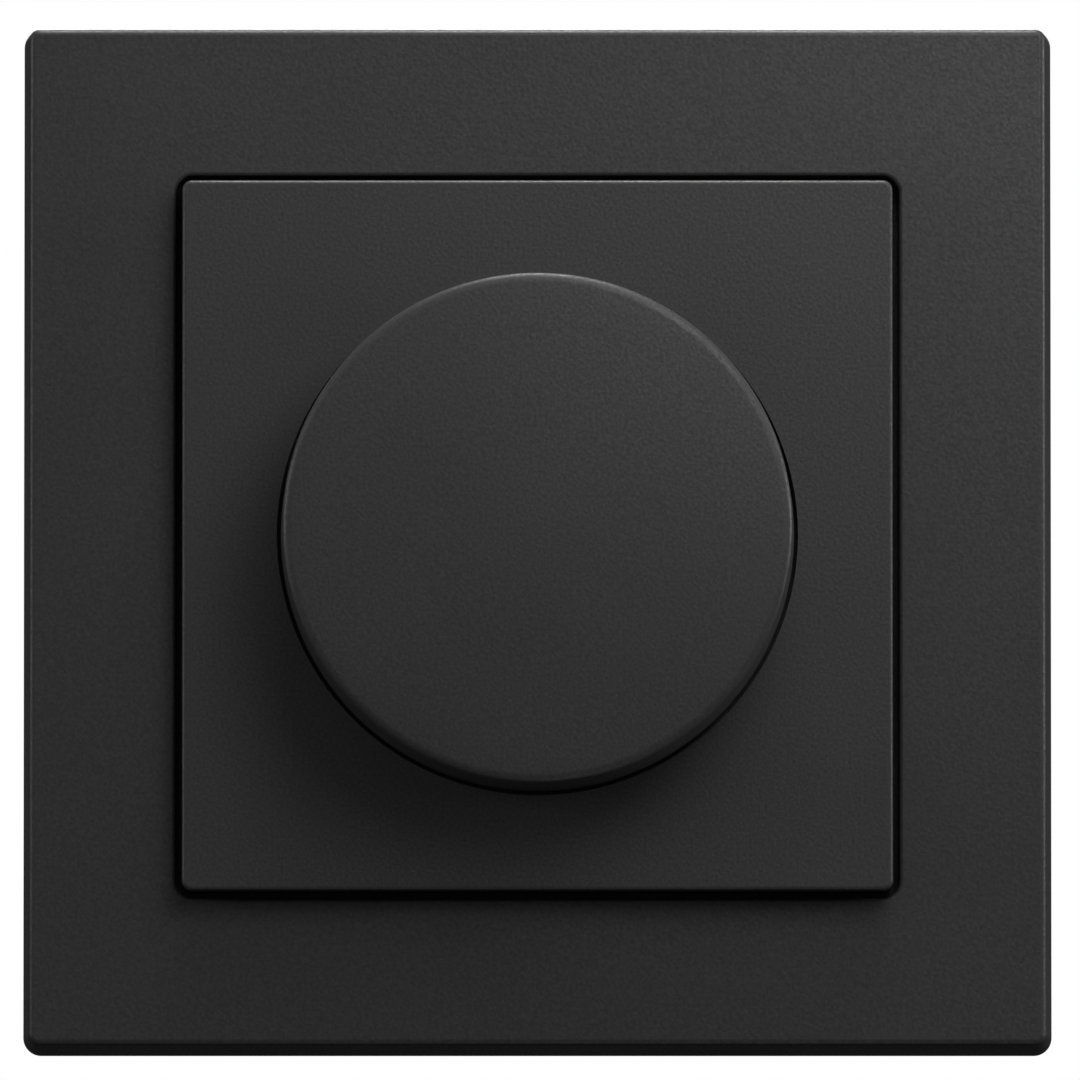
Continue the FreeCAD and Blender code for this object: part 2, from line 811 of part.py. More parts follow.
def make_shaft():
    """Round shaft with a stop collar at the back and a flat at each place that it drives."""
    solid = fuse("shaft_round",
                 cylinder("shaft_rod", "shaft_width", "collar_back", "shaft_front"),
                 cylinder("shaft_stop", "shaft_collar", "collar_back", "collar_front"))
    step = "shaft_width - shaft_flat"
    row = "flat_level + (shaft_width - shaft_flat) / 2"
    flats = fuse("shaft_flats",
                 block("shaft_rear_flat", "0", row, "collar_front", "0 - free_gap", "shaft_width", step),
                 block("shaft_front_flat", "0", row, "hub_back", "shaft_front", "shaft_width", step))
    finish(cut("shaft", solid, flats), "shaft")


def make_support_ring():
    """Steel carrier plate: holes for screws, bush and trimmer, pressed beads and centre notches."""
    body = new_body("support_ring")
    sheet = Drawing(body, "ring_sheet")
    sheet.square("ring_side", "ring_corner")
    sheet.pad("ring_thickness")
    holes = Drawing(body, "ring_holes")
    holes.circle("bush_hole")
    for sign in ("", "0 - "):
        holes.slot(f"{sign}box_screw_spacing / 2", "0", "box_slot_length", "box_slot_width")
        holes.circle("can_screw_width + 2 * hole_clearance", x=f"{sign}can_screw_x")
        holes.circle("claw_screw_width + 2 * hole_clearance", y=f"{sign}claw_screw_row")
    holes.circle("trimmer_access", "trimmer_column", "trimmer_row")
    holes.circle("rivet_width + 2 * run_gap", "0 - triac_column", "triac_hole_row")
    corner = "ring_side / 2 - ring_hole_setback"
    for sign in ("", "0 - "):
        holes.circle("ring_hole", x=f"{sign}({corner})", y=corner)
        holes.circle("ring_hole", x=f"{sign}({corner})", y=f"0 - ({corner})")
    holes.pocket()
    notches = Drawing(body, "ring_notches")
    for sign in ("", "0 - "):
        notches.circle("ring_notch", x=f"{sign}ring_side / 2")
        notches.circle("ring_notch", y=f"{sign}ring_side / 2")
    notches.pocket()
    for name, level in (("ring_bead_fronts", "ring_thickness"), ("ring_bead_backs", "0")):
        width = "bead_width" if level != "0" else "bead_width - bead_height"
        beads = Drawing(body, name, level)
        for row in ("bead_row", "0 - bead_row"):
            beads.slot("0", row, f"bead_length + {width} - bead_width", width)
            for side in ("", "0 - "):
                beads.upright_slot(row, f"{side}(bead_start + bead_end) / 2",
                                   f"bead_end - bead_start + {width} - bead_width", width)
        if level == "0":
            beads.pocket("bead_height")
        else:
            beads.pad("bead_height")
    finish(body, "support_ring")


def make_housing():
    """Moulded can with claw channels, ears, rim, ribs, screw bosses and the wiring holes."""
    body = new_body("housing")
    outside = Drawing(body, "can_outside", "0 - can_depth")
    outside.can("0")
    outside.pad("can_depth")
    round_edges(body, "can_back_edge", "can_edge", at_level("0 - can_depth"))
    rim = Drawing(body, "can_rim", "0 - can_flange_height")
    rim.can("0 - can_flange")
    rim.pad("can_flange_height")
    grips = Drawing(body, "can_grip_ribs", "0 - grip_rib_length")
    for angle in ("22", "32", "42", "138", "148", "158", "202", "212", "222", "318", "328", "338"):
        grips.bar("can_width / 2 - can_wall / 2", "can_width / 2 + grip_rib_height", "grip_rib", angle)
    grips.pad("grip_rib_length")
    inside = Drawing(body, "can_inside", "can_base")
    inside.can("can_wall")
    inside.pocket()
    ears = Drawing(body, "can_ears", "0 - claw_level - ear_height / 2")
    column = "(channel_width - ear_thickness) / 2"
    row = "channel_floor + ear_reach / 2"
    for x in (column, f"0 - {column}"):
        for y in (row, f"0 - ({row})"):
            ears.block(x, y, "ear_thickness", "ear_reach")
    ears.pad("ear_height")
    pins = Drawing(body, "can_pin_holes", plane="YZ_Plane")
    for sign in ("", "0 - "):
        pins.circle("claw_pin + 2 * run_gap", f"{sign}claw_row", "0 - claw_level")
    pins.pocket("channel_width", both_ways=True)
    bosses = Drawing(body, "can_bosses", "board_front")
    for sign in ("", "0 - "):
        bosses.circle("2 * can_boss", f"{sign}can_screw_x")
    bosses.pad("0 - (board_front)")
    webs = Drawing(body, "can_webs", "board_front")
    for sign in ("", "0 - "):
        webs.block(f"{sign}(can_screw_x + can_inside + can_wall / 2) / 2", "0",
                   "can_inside + can_wall / 2 - can_screw_x", "can_web")
    webs.pad("0 - (board_front)")
    pilots = Drawing(body, "can_pilots", "0 - can_screw_length - free_gap")
    for sign in ("", "0 - "):
        pilots.circle("can_screw_width + 2 * run_gap", f"{sign}can_screw_x")
    pilots.pocket()
    ribs = Drawing(body, "can_ribs", "can_base")
    for angle in ("can_rib_angle", "180 - can_rib_angle", "180 + can_rib_angle", "360 - can_rib_angle"):
        ribs.bar("can_inside - can_rib_reach", "can_inside + can_wall / 2", "can_rib", angle)
    ribs.pad("board_back - (can_base)")
    wires = Drawing(body, "can_wire_holes", "0 - can_depth")
    for x in ("cage_column", "0 - cage_column"):
        for y in ("cage_row", "0 - cage_row"):
            wires.block(x, y, "wire_hole + 2 * wire_lead_in", "wire_hole + 2 * wire_lead_in")
    wires.pocket("can_wall")
    bevel_edges(body, "can_wire_funnels", "funnel_edge",
                at_level("0 - can_depth", within="cage_column + wire_hole"))
    field = Drawing(body, "can_back_field", "0 - can_depth")
    field.block("0", "0", "back_field_length", "back_field_height")
    field.pocket("back_field_depth")
    marks = Drawing(body, "can_ejector_marks", "0 - can_depth")
    for x in ("ejector_column", "0 - ejector_column"):
        for y in ("ejector_row", "0 - ejector_row"):
            marks.circle("ejector_mark", x, y)
    marks.pocket("ejector_mark_depth")
    tools = Drawing(body, "can_tool_holes", plane="YZ_Plane")
    for sign in ("", "0 - "):
        tools.circle("tool_hole", f"{sign}cage_row", "cage_level")
    tools.pocket("can_width", both_ways=True)
    finish(body, "housing")


def slotted_screw(name, x, y, width, length, head, head_height):
    """Make one slotted screw whose head sits on the front of the ring."""
    front = f"ring_thickness + {head_height}"
    whole = fuse(name + "_whole",
                 cylinder(name + "_shank", width, f"0 - ({length})", "ring_thickness", x, y),
                 cylinder(name + "_head", head, "ring_thickness", front, x, y))
    slot = block(name + "_slot", x, y, f"{front} - screw_slot_depth", front, head, "screw_slot")
    return cut(name, whole, slot)


def make_housing_screws():
    """Two screws that hold the housing behind the ring."""
    right = slotted_screw("housing_screw", "can_screw_x", "0", "can_screw_width", "can_screw_length",
                          "can_screw_head", "can_screw_head_height")
    finish(group("housing_screws", right, mirror("housing_screw_left", right, "x")), "housing_screws")


def make_rotary_resistor():
    """Square case behind the bush with the resistance track, and the rotor with its wiper."""
    case = new_body("pot_case")
    block_sketch = Drawing(case, "pot_block", "pot_back")
    block_sketch.square("pot_side", "inner_corner")
    block_sketch.pad("pot_depth")
    bore = Drawing(case, "pot_cavity", "pot_base")
    bore.circle("pot_bore")
    bore.pocket()
    hole = Drawing(case, "pot_shaft_hole", "pot_back")
    hole.circle("shaft_width + free_gap")
    hole.pocket()
    finish(case, "pot_case")
    track = cut("track_disc",
                cylinder("track_whole", "pot_bore - free_gap", "pot_base", "track_front"),
                cylinder("track_hole", "shaft_width + 2 * free_gap", "pot_base", "track_front"))
    finish(track, "track_disc")
    rotor = new_body("wiper_rotor")
    disc = Drawing(rotor, "rotor_disc", "rotor_back")
    disc.circle("rotor_width")
    disc.flatted_circle("shaft_bore", "flat_level + run_gap")
    disc.pad("rotor_height")
    finish(rotor, "wiper_rotor")
    wiper = new_body("wiper_contact")
    sheet = Drawing(wiper, "wiper_sheet_ring", "rotor_back - wiper_sheet")
    sheet.circle("2 * wiper_radius + 2 * wiper_tip")
    sheet.circle("shaft_width + 2 * free_gap")
    sheet.pad("wiper_sheet")
    tips = Drawing(wiper, "wiper_tips", "track_front + run_gap")
    for sign in ("", "0 - "):
        tips.circle("wiper_tip", f"{sign}wiper_radius")
    tips.pad("rotor_back - wiper_sheet - (track_front) - run_gap")
    finish(wiper, "wiper_contact")


def make_push_switch():
    """Case, sliding carrier with its contact bridge, return spring and two fixed contacts."""
    case = new_body("switch_case")
    outside = Drawing(case, "switch_block", "switch_back")
    outside.square("pot_side", "inner_corner")
    outside.pad("switch_depth")
    cavity = Drawing(case, "switch_cavity", "switch_base")
    cavity.square("switch_bore", "inner_corner")
    cavity.pocket()
    holes = Drawing(case, "switch_pin_holes", "switch_back")
    for sign in ("", "0 - "):
        holes.circle("contact_pin + 2 * run_gap", f"{sign}contact_spacing / 2", "contact_row")
    holes.pocket("switch_floor")
    finish(case, "switch_case")
    slider = new_body("switch_slider")
    plate = Drawing(slider, "slider_plate", "slider_back")
    plate.square("switch_bore - 2 * free_gap", "inner_corner")
    plate.pad("slider_height")
    peg = Drawing(slider, "slider_peg", "slider_back - slider_peg_height")
    peg.circle("slider_peg")
    peg.pad("slider_peg_height")
    finish(slider, "switch_slider")
    bridge = new_body("contact_bridge")
    strip = Drawing(bridge, "bridge_strip", "slider_back - bridge_sheet")
    strip.slot("0", "contact_row", "bridge_length", "bridge_width")
    strip.pad("bridge_sheet")
    finish(bridge, "contact_bridge")
    top = "slider_back - bridge_sheet - push_travel - contact_gap"
    right = fuse("switch_contact_right",
                 cylinder("contact_head", "contact_width", "switch_base", top,
                          "contact_spacing / 2", "contact_row"),
                 cylinder("contact_stem", "contact_pin", "switch_back", "switch_base",
                          "contact_spacing / 2", "contact_row"))
    finish(group("switch_contacts", right, mirror("switch_contact_left", right, "x")), "switch_contacts")


def make_return_spring():
    """Coil spring between the floor of the switch case and the slider."""
    height = value("slider_back - switch_base - 2 * spring_wire / 2 - 2 * run_gap")
    radius = value("(spring_width - spring_wire) / 2")
    path = Part.makeHelix(height / value("spring_turns"), height, radius)
    ring = Part.makeCircle(value("spring_wire / 2"), FreeCAD.Vector(radius, 0, 0), FreeCAD.Vector(0, 1, 0))
    coil = DOC.addObject("Part::Feature", "spring_coil")
    coil.Shape = Part.Wire(path).makePipeShell([Part.Wire(ring)], True, True)
    bind(coil, "Placement.Base.z", "switch_base + spring_wire / 2 + run_gap")
    finish(group("return_spring", coil), "return_spring")


def make_circuit_board():
    """Board across the housing, with the outline of its inside."""
    body = new_body("circuit_board")
    sheet = Drawing(body, "board_sheet", "board_back")
    sheet.can("can_wall + board_gap")
    sheet.pad("board_thickness")
    finish(body, "circuit_board")


def make_choke():
    """Interference choke: ring core and the winding round it."""
    low = "board_back - winding_wall - run_gap - choke_height"
    high = "board_back - winding_wall - run_gap"
    core = cut("choke_core",
               cylinder("core_outer", "choke_width", low, high, y="choke_row"),
               cylinder("core_bore", "choke_bore", low, high, y="choke_row"))
    finish(core, "choke_core")
    around = "winding_wall + run_gap"
    sleeve = cylinder("winding_outer", f"choke_width + 2 * ({around})", f"{low} - ({around})",
                      "board_back", y="choke_row")
    bind(sleeve, "Angle", "winding_sector")
    inside = fuse("winding_inside",
                  cylinder("winding_bore", f"choke_bore - 2 * ({around})", f"{low} - ({around})",
                           "board_back", y="choke_row"),
                  cut("core_room",
                      cylinder("core_room_outer", "choke_width + 2 * run_gap", f"{low} - run_gap",
                               f"{high} + run_gap", y="choke_row"),
                      cylinder("core_room_bore", "choke_bore - 2 * run_gap", f"{low} - run_gap",
                               f"{high} + run_gap", y="choke_row")))
    finish(cut("choke_winding", sleeve, inside), "choke_winding")


def make_capacitors():
    """Film capacitor with rounded edges and round electrolytic capacitor with its crimp groove."""
    film = new_body("film_capacitor")
    case = Drawing(film, "film_case", "board_back - film_height")
    case.block("0", "0 - film_row", "film_length", "film_width")
    case.pad("film_height")
    round_edges(film, "film_rounding", "film_edge", at_level("board_back - film_height"))
    finish(film, "film_capacitor")
    blank = new_body("electrolytic_blank")
    side = Drawing(blank, "electrolytic_side", plane="XZ_Plane")
    radius = "electrolytic_width / 2"
    crimp = "board_back - 2 * crimp_width"
    side.outline([
        ("0", "board_back - electrolytic_height"),
        (radius, "board_back - electrolytic_height"),
        (radius, f"{crimp} - crimp_width / 2"),
        (f"{radius} - crimp_depth", crimp),
        (radius, f"{crimp} + crimp_width / 2"),
        (radius, "board_back"),
        ("0", "board_back"),
    ])
    side.revolve()
    bind(blank, "Placement.Base.x", "0 - electrolytic_column")
    bind(blank, "Placement.Base.y", "0 - electrolytic_row")
    finish(group("electrolytic_capacitor", blank), "electrolytic_capacitor")


def make_varistor():
    """Disc varistor standing on its two leads."""
    level = "board_back - varistor_stand - varistor_width / 2"
    disc = cylinder("varistor_disc", "varistor_width", "0 - varistor_thickness / 2",
                    "varistor_thickness / 2", "varistor_column", "0 - varistor_row", level, axis="y")
    leads = []
    for number, sign in enumerate(("+", "-"), 1):
        leads.append(cylinder(f"varistor_lead_{number}", "lead_width", level, "board_back",
                              f"varistor_column {sign} lead_spacing / 2", "0 - varistor_row"))
    finish(fuse("varistor", disc, *leads), "varistor")


def make_triac():
    """Power semiconductor flat behind the ring, with its insulating pad and rivet."""
    x = "0 - triac_column"
    back = "triac_front - triac_thickness"
    tab_back = "triac_front - triac_tab"
    parts = [
        block("triac_tab_sheet", x, "triac_row", tab_back, "triac_front", "triac_width", "triac_length"),
        block("triac_body", x, "triac_bottom + triac_body_length / 2", back, "triac_front",
              "triac_width", "triac_body_length"),
    ]
    for number, shift in enumerate(("0 - triac_lead_pitch", "0", "triac_lead_pitch"), 1):
        column = f"{x} + ({shift})"
        level = "triac_front - triac_thickness / 2"
        parts.append(block(f"triac_lead_out_{number}", column, "triac_bottom", f"{level} - triac_lead",
                           level, "triac_lead", "4 * triac_lead"))
        parts.append(block(f"triac_lead_down_{number}", column, "triac_bottom - 1.5 * triac_lead",
                           "board_front", level, "triac_lead", "triac_lead"))
    hole = cylinder("triac_hole", "rivet_width + 2 * run_gap", tab_back, "triac_front", x,
                    "triac_hole_row")
    finish(cut("triac", fuse("triac_whole", *parts), hole), "triac")
    pad_size = "2 * triac_pad_margin"
    sheet = block("pad_sheet", x, "triac_row", "triac_front", "0",
                  "triac_width - " + pad_size, "triac_length - " + pad_size)
    pad_hole = cylinder("pad_hole", "rivet_width + 2 * run_gap", "triac_front", "0", x, "triac_hole_row")
    finish(cut("triac_pad", sheet, pad_hole), "triac_pad")
    rivet = fuse("triac_rivet",
                 cylinder("rivet_shank", "rivet_width", tab_back, "ring_thickness", x, "triac_hole_row"),
                 cylinder("rivet_front_head", "rivet_head", "ring_thickness",
                          "ring_thickness + rivet_head_height", x, "triac_hole_row"),
                 cylinder("rivet_back_head", "rivet_head", f"{tab_back} - rivet_head_height", tab_back,
                          x, "triac_hole_row"))
    finish(rivet, "triac_rivet")


def make_board_parts():
    """Three resistors and the control chip on the front of the board."""
    resistors = []
    level = "board_front + resistor_width / 2 + free_gap"
    for number in range(3):
        x = f"0 - resistor_column + {number} * resistor_pitch"
        name = f"resistor_{number + 1}"
        row = "0 - resistor_row"
        bodies = [cylinder(name + "_body", "resistor_width", "0 - resistor_length / 2",
                           "resistor_length / 2", x, row, level, axis="y")]
        lead_row = "(resistor_length / 2 + lead_width)"
        bodies.append(cylinder(name + "_wire", "lead_width", f"0 - {lead_row}", lead_row, x, row, level,
                               axis="y"))
        for side in ("+", "-"):
            bodies.append(cylinder(f"{name}_leg", "lead_width", "board_front", level, x,
                                   f"{row} {side} {lead_row}"))
        resistors.append(fuse(name, *bodies))
    finish(group("resistors", *resistors), "resistors")
    parts = [block("chip_body", "chip_column", "0 - chip_row", "board_front + chip_stand",
                   "board_front + chip_stand + chip_height", "chip_length", "chip_width")]
    for number in range(SIZES["chip_pin_count"]):
        x = f"chip_column + ({number} - (chip_pin_count - 1) / 2) * chip_pin_pitch"
        parts.append(block(f"chip_pins_{number + 1}", x, "0 - chip_row", "board_front",
                           "board_front + chip_stand + chip_height / 2", "chip_pin",
                           "chip_width + 2 * chip_pin"))
    under = block("chip_room", "chip_column", "0 - chip_row", "board_front", "board_front + chip_stand",
                  "chip_length", "chip_width")
    finish(cut("control_chip", fuse("chip_whole", *parts), under), "control_chip")


def make_fuse():
    """Glass fuse with two end caps in two spring clips on the board."""
    row = "0 - fuse_row"
    half = "fuse_length / 2"
    inner = "fuse_width - 2 * cap_sheet"
    tube_end = f"({half} - cap_sheet)"
    tube = cut("fuse_tube",
               cylinder("tube_outer", f"{inner} - 2 * run_gap", f"0 - {tube_end}", tube_end, "0", row,
                        "fuse_level", axis="x"),
               cylinder("tube_bore", f"{inner} - 2 * tube_wall", f"0 - {tube_end}", tube_end, "0", row,
                        "fuse_level", axis="x"))
    finish(tube, "fuse_tube")
    cap = cut("fuse_cap",
              cylinder("cap_outer", "fuse_width", f"{half} - cap_length", half, "0", row, "fuse_level",
                       axis="x"),
              cylinder("cap_bore", inner, f"{half} - cap_length", f"{half} - cap_sheet", "0", row,
                       "fuse_level", axis="x"))
    finish(group("fuse_caps", cap, mirror("fuse_cap_left", cap, "x")), "fuse_caps")
    clips = new_body("fuse_clips")
    inside = "(fuse_width / 2 + run_gap)"
    outside = f"({inside} + clip_sheet)"
    for sign in ("", "0 - "):
        profile = Drawing(clips, "clip_profile", f"{sign}clip_column", plane="YZ_Plane")
        profile.outline([
            (f"{row} - {outside}", "board_front"),
            (f"{row} + {outside}", "board_front"),
            (f"{row} + {outside}", "board_front + clip_height"),
            (f"{row} + {inside}", "board_front + clip_height"),
            (f"{row} + {inside}", "board_front + clip_sheet"),
            (f"{row} - {inside}", "board_front + clip_sheet"),
            (f"{row} - {inside}", "board_front + clip_height"),
            (f"{row} - {outside}", "board_front + clip_height"),
        ])
        profile.pad("clip_length", both_ways=True)
    finish(clips, "fuse_clips")


def make_trimmer():
    """Small trimmer behind its hole in the ring, with legs to the board and a slotted rotor."""
    base = new_body("trimmer_base")
    case = Drawing(base, "trimmer_block", "trimmer_back")
    case.block("trimmer_column", "trimmer_row", "trimmer_side", "trimmer_side")
    case.pad("trimmer_height")
    well = Drawing(base, "trimmer_well", "rotor_top - trimmer_rotor_height - run_gap")
    well.circle("trimmer_rotor + 2 * run_gap", "trimmer_column", "trimmer_row")
    well.pocket()
    legs = Drawing(base, "trimmer_legs", "board_front")
    for step_x, step_y in ((-1, -1), (1, -1), (0, 1)):
        legs.circle("lead_width", f"trimmer_column + {step_x} * trimmer_side / 4",
                    f"trimmer_row + {step_y} * trimmer_side / 4")
    legs.pad("trimmer_back - (board_front)")
    finish(base, "trimmer_base")
    disc = cylinder("trimmer_disc", "trimmer_rotor", "rotor_top - trimmer_rotor_height", "rotor_top",
                    "trimmer_column", "trimmer_row")
    slot = block("trimmer_rotor_slot", "trimmer_column", "trimmer_row", "rotor_top - trimmer_slot_depth",
                 "rotor_top", "trimmer_rotor", "trimmer_slot")
    finish(cut("trimmer_rotor", disc, slot), "trimmer_rotor")


def make_terminals():
    """Four screw cages on the floor of the housing, with solder tabs to the board, and their screws."""
    metal = fuse("cage_metal",
                 block("cage_block", "cage_column", "cage_row", "can_base", "cage_front", "cage_length",
                       "cage_width"),
                 block("cage_tab", "cage_column", "cage_row + cage_width / 2 - cage_tab_sheet / 2",
                       "cage_front", "board_back", "cage_tab", "cage_tab_sheet"))
    openings = fuse("cage_openings",
                    block("cage_wire_hole", "cage_column", "cage_row", "can_base", "cage_front",
                          "wire_hole", "wire_hole"),
                    cylinder("cage_thread", "terminal_screw_width + 2 * run_gap", "cage_column",
                             "cage_column + cage_length / 2", "0", "cage_row", "cage_level", axis="x"))
    cage = cut("cage_blank", metal, openings)
    end = "screw_start + terminal_screw_length"
    rod = cylinder("terminal_rod", "terminal_screw_width", "screw_start", end, "0", "cage_row",
                   "cage_level", axis="x")
    slot = block("terminal_screw_slot", f"{end} - terminal_slot_depth / 2", "cage_row",
                 "cage_level - terminal_screw_width / 2", "cage_level + terminal_screw_width / 2",
                 "terminal_slot_depth", "terminal_slot")
    screw = cut("terminal_screw_blank", rod, slot)
    screws = [screw]
    for side, first, second in (("right", cage, screw),
                                ("left", mirror("cage_left", cage, "x"),
                                 mirror("screw_left", screw, "x"))):
        if side == "left":
            screws.append(second)
        screws.append(mirror(f"screw_lower_{side}", second, "y"))
        finish(group(f"terminal_cage_upper_{side}", first), f"terminal_cage_upper_{side}")
        finish(mirror(f"terminal_cage_lower_{side}", first, "y"), f"terminal_cage_lower_{side}")
    finish(group("terminal_screws", *screws), "terminal_screws")


def make_claw_blank():
    """Claw bent from sheet: eye on the pin, slotted leg over the nut, long leg with a toothed tip."""
    body = new_body("claw_blank")
    near = "claw_row - claw_sheet / 2"
    far = "claw_row + claw_sheet / 2"
    top = "0 - claw_level + claw_sheet / 2"
    bottom = "0 - claw_level - claw_length"
    sheet = Drawing(body, "claw_sheet_side", plane="YZ_Plane")
    sheet.outline([
        (near, top),
        (near, f"{bottom} + claw_sheet / 2"),
        (f"{near} + claw_sheet / 2", bottom),
        (f"{near} + claw_tip_reach + claw_sheet / 2", bottom),
        (f"{near} + claw_tip_reach", f"{bottom} + claw_sheet"),
        (far, f"{bottom} + claw_sheet"),
        (far, "claw_under"),
        ("claw_row + claw_leg_reach", "claw_under"),
        ("claw_row + claw_leg_reach", top),
    ])
    sheet.pad("claw_width", both_ways=True)
    eye = Drawing(body, "claw_eye_side", plane="YZ_Plane")
    eye.circle("2 * claw_eye", "claw_row", "0 - claw_level")
    eye.pad("claw_width", both_ways=True)
    bore = Drawing(body, "claw_pin_bore", plane="YZ_Plane")
    bore.circle("claw_pin + 2 * run_gap", "claw_row", "0 - claw_level")
    bore.pocket("claw_width", both_ways=True)
    slot = Drawing(body, "claw_screw_slot", "claw_under")
    slot.box("0 - claw_leg_slot / 2", "claw_row + claw_slot_start", "claw_leg_slot / 2",
             "claw_row + claw_leg_reach")
    slot.pocket("claw_sheet")
    teeth = Drawing(body, "claw_teeth", bottom)
    edge = f"{near} + claw_tip_reach + claw_sheet / 2"
    for number in range(SIZES["claw_tooth_count"]):
        x = f"({number} - (claw_tooth_count - 1) / 2) * claw_width / claw_tooth_count"
        teeth.outline([
            (x, f"{edge} - claw_tooth"),
            (f"{x} + claw_tooth", edge),
            (f"{x} - claw_tooth", edge),
        ])
    teeth.pocket("claw_sheet")
    return body


def make_claws():
    """Top and bottom claw, each with its pin, screw and nut."""
    claw = make_claw_blank()
    pin = cylinder("claw_pin_blank", "claw_pin", "run_gap - channel_width / 2",
                   "channel_width / 2 - run_gap", "0", "claw_row", "0 - claw_level", axis="x")
    screw = slotted_screw("claw_screw_blank", "0", "claw_screw_row", "claw_screw_width",
                          "claw_screw_length", "claw_screw_head", "claw_screw_head_height")
    nut = cut("claw_nut_blank",
              block("claw_nut_block", "0", "claw_screw_row", "claw_nut_front - claw_nut_height",
                    "claw_nut_front", "claw_nut_side", "claw_nut_side"),
              cylinder("claw_nut_thread", "claw_screw_width + 2 * run_gap",
                       "claw_nut_front - claw_nut_height", "claw_nut_front", "0", "claw_screw_row"))
    finish(group("claw_pins", pin, mirror("claw_pin_bottom", pin, "y")), "claw_pins")
    for label, blank in (("claw", claw), ("claw_screw", screw), ("claw_nut", nut)):
        finish(group(f"{label}_top", blank), f"{label}_top")
        finish(mirror(f"{label}_bottom", blank, "y"), f"{label}_bottom")


def check_document():
    """Stop if any object failed, any piece is empty or invalid, or any cut took nothing away."""
    for item in DOC.Objects:
        if "Invalid" in item.State or "Error" in item.State:
            raise RuntimeError(f"{item.Label} failed to recompute")
        if item.TypeId == "PartDesign::Pocket":
            if item.Shape.Volume > item.BaseFeature.Shape.Volume - 1e-3:
                raise RuntimeError(f"{item.Label} cuts nothing")
        if item.TypeId == "Part::Cut":
            if item.Shape.Volume > item.Base.Shape.Volume - 1e-3:
                raise RuntimeError(f"{item.Label} cuts nothing")
    for item in PIECES:
        if item.Shape.isNull() or not item.Shape.isValid() or not item.Shape.Solids:
            raise RuntimeError(f"{item.Label} has no valid solid")


def main():
    """Build every piece and write each one to its own file."""
    write_sizes()
    make_cover_frame()
    make_cover_plate()
    make_nut("plate_nut", "recess_floor", "plate_nut_height")
    make_nut("bush_nut", "ring_thickness", "bush_nut_height")
    make_bush()
    make_knob()
    make_hub_ring()
    make_shaft()
    make_support_ring()
    make_housing()
    make_housing_screws()
    make_rotary_resistor()
    make_push_switch()
    make_return_spring()
    make_circuit_board()
    make_choke()
    make_capacitors()
    make_varistor()
    make_triac()
    make_board_parts()
    make_fuse()
    make_trimmer()
    make_terminals()
    make_claws()
    DOC.recompute()
    check_document()
    os.makedirs("parts", exist_ok=True)
    for item in PIECES:
        item.Shape.exportStep(f"parts/{item.Label}.step")
        print(item.Label, len(item.Shape.Solids), round(item.Shape.Volume, 2))


main()
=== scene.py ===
"""Looks of the rotary dimmer switch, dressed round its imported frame.

Shapes are written in the front view in millimetres: x to the right, y up and z out of the wall. The
room view has its x to the right, y into the wall and z up, in metres, so a front point (x, y, z)
stands at (x, -z, y).
"""

import logging
import math
from dataclasses import dataclass, replace
from enum import Enum

import bpy
import numpy as np
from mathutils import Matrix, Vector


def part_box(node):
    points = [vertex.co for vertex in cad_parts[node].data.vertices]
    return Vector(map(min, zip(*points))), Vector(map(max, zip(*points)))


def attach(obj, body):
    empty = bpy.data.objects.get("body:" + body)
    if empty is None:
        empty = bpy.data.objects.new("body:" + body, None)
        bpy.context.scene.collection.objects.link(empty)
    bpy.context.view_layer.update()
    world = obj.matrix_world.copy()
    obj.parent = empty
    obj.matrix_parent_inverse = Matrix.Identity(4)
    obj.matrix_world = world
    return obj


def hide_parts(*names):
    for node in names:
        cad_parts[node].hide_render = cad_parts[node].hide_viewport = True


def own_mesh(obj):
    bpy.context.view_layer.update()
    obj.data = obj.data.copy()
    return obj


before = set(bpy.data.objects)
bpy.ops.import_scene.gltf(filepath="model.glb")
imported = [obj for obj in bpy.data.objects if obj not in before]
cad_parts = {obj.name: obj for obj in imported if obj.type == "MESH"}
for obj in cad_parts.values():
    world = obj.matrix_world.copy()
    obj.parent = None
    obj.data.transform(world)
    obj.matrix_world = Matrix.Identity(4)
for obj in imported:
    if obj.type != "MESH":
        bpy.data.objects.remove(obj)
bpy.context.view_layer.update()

LOG = logging.getLogger("dimmer")
MM = 0.001
FULL_TURN = 2 * math.pi
SMOOTH_ANGLE = math.radians(34)
Triple = Colour = tuple[float, float, float]
Profile = list[tuple[float, float]]
ORIGIN = (0.0, 0.0, 0.0)
# Groove depth of a thread as a share of its pitch, on a bolt and in a nut, and their play.
BOLT_GROOVE = 0.61
NUT_GROOVE = 0.54
THREAD_PLAY = 0.03
# Points along one half of a slotted head, and the size of its broken edge.
HALF_HEAD = 19
BROKEN_EDGE = 0.12
# Front of the support ring's sheet, and how far a laid-on piece runs into what it lies on.
RING_FRONT = 1.2
SUNK = 0.02


class Axis(Enum):
    """Front-view axis that a turned piece stands on."""

    RIGHT = (1, 2, 0)
    UP = (2, 0, 1)
    OUT = (0, 1, 2)


class Noise(Enum):
    """Kind of pattern that a finish is grown from."""

    CLOUD = "ShaderNodeTexNoise"
    CELL = "ShaderNodeTexVoronoi"


def to_room(points: np.ndarray) -> np.ndarray:
    """Turn front-view points into room points: (x, y, z) goes to (x, -z, y), in metres.

    Args:
        points: Any array whose last axis holds x, y and z in millimetres.

    Returns:
        Array of the same shape in metres.
    """
    return np.stack([points[..., 0], -points[..., 2], points[..., 1]], axis=-1) * MM


def extent(node: str) -> tuple[np.ndarray, np.ndarray]:
    """Measure a node of the frame in the front view.

    Args:
        node: Name of the node.

    Returns:
        Lowest and highest corner as x, y and z in millimetres.
    """
    low, high = (np.array(corner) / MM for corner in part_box(node))
    return np.array([low[0], low[2], -high[1]]), np.array([high[0], high[2], -low[1]])


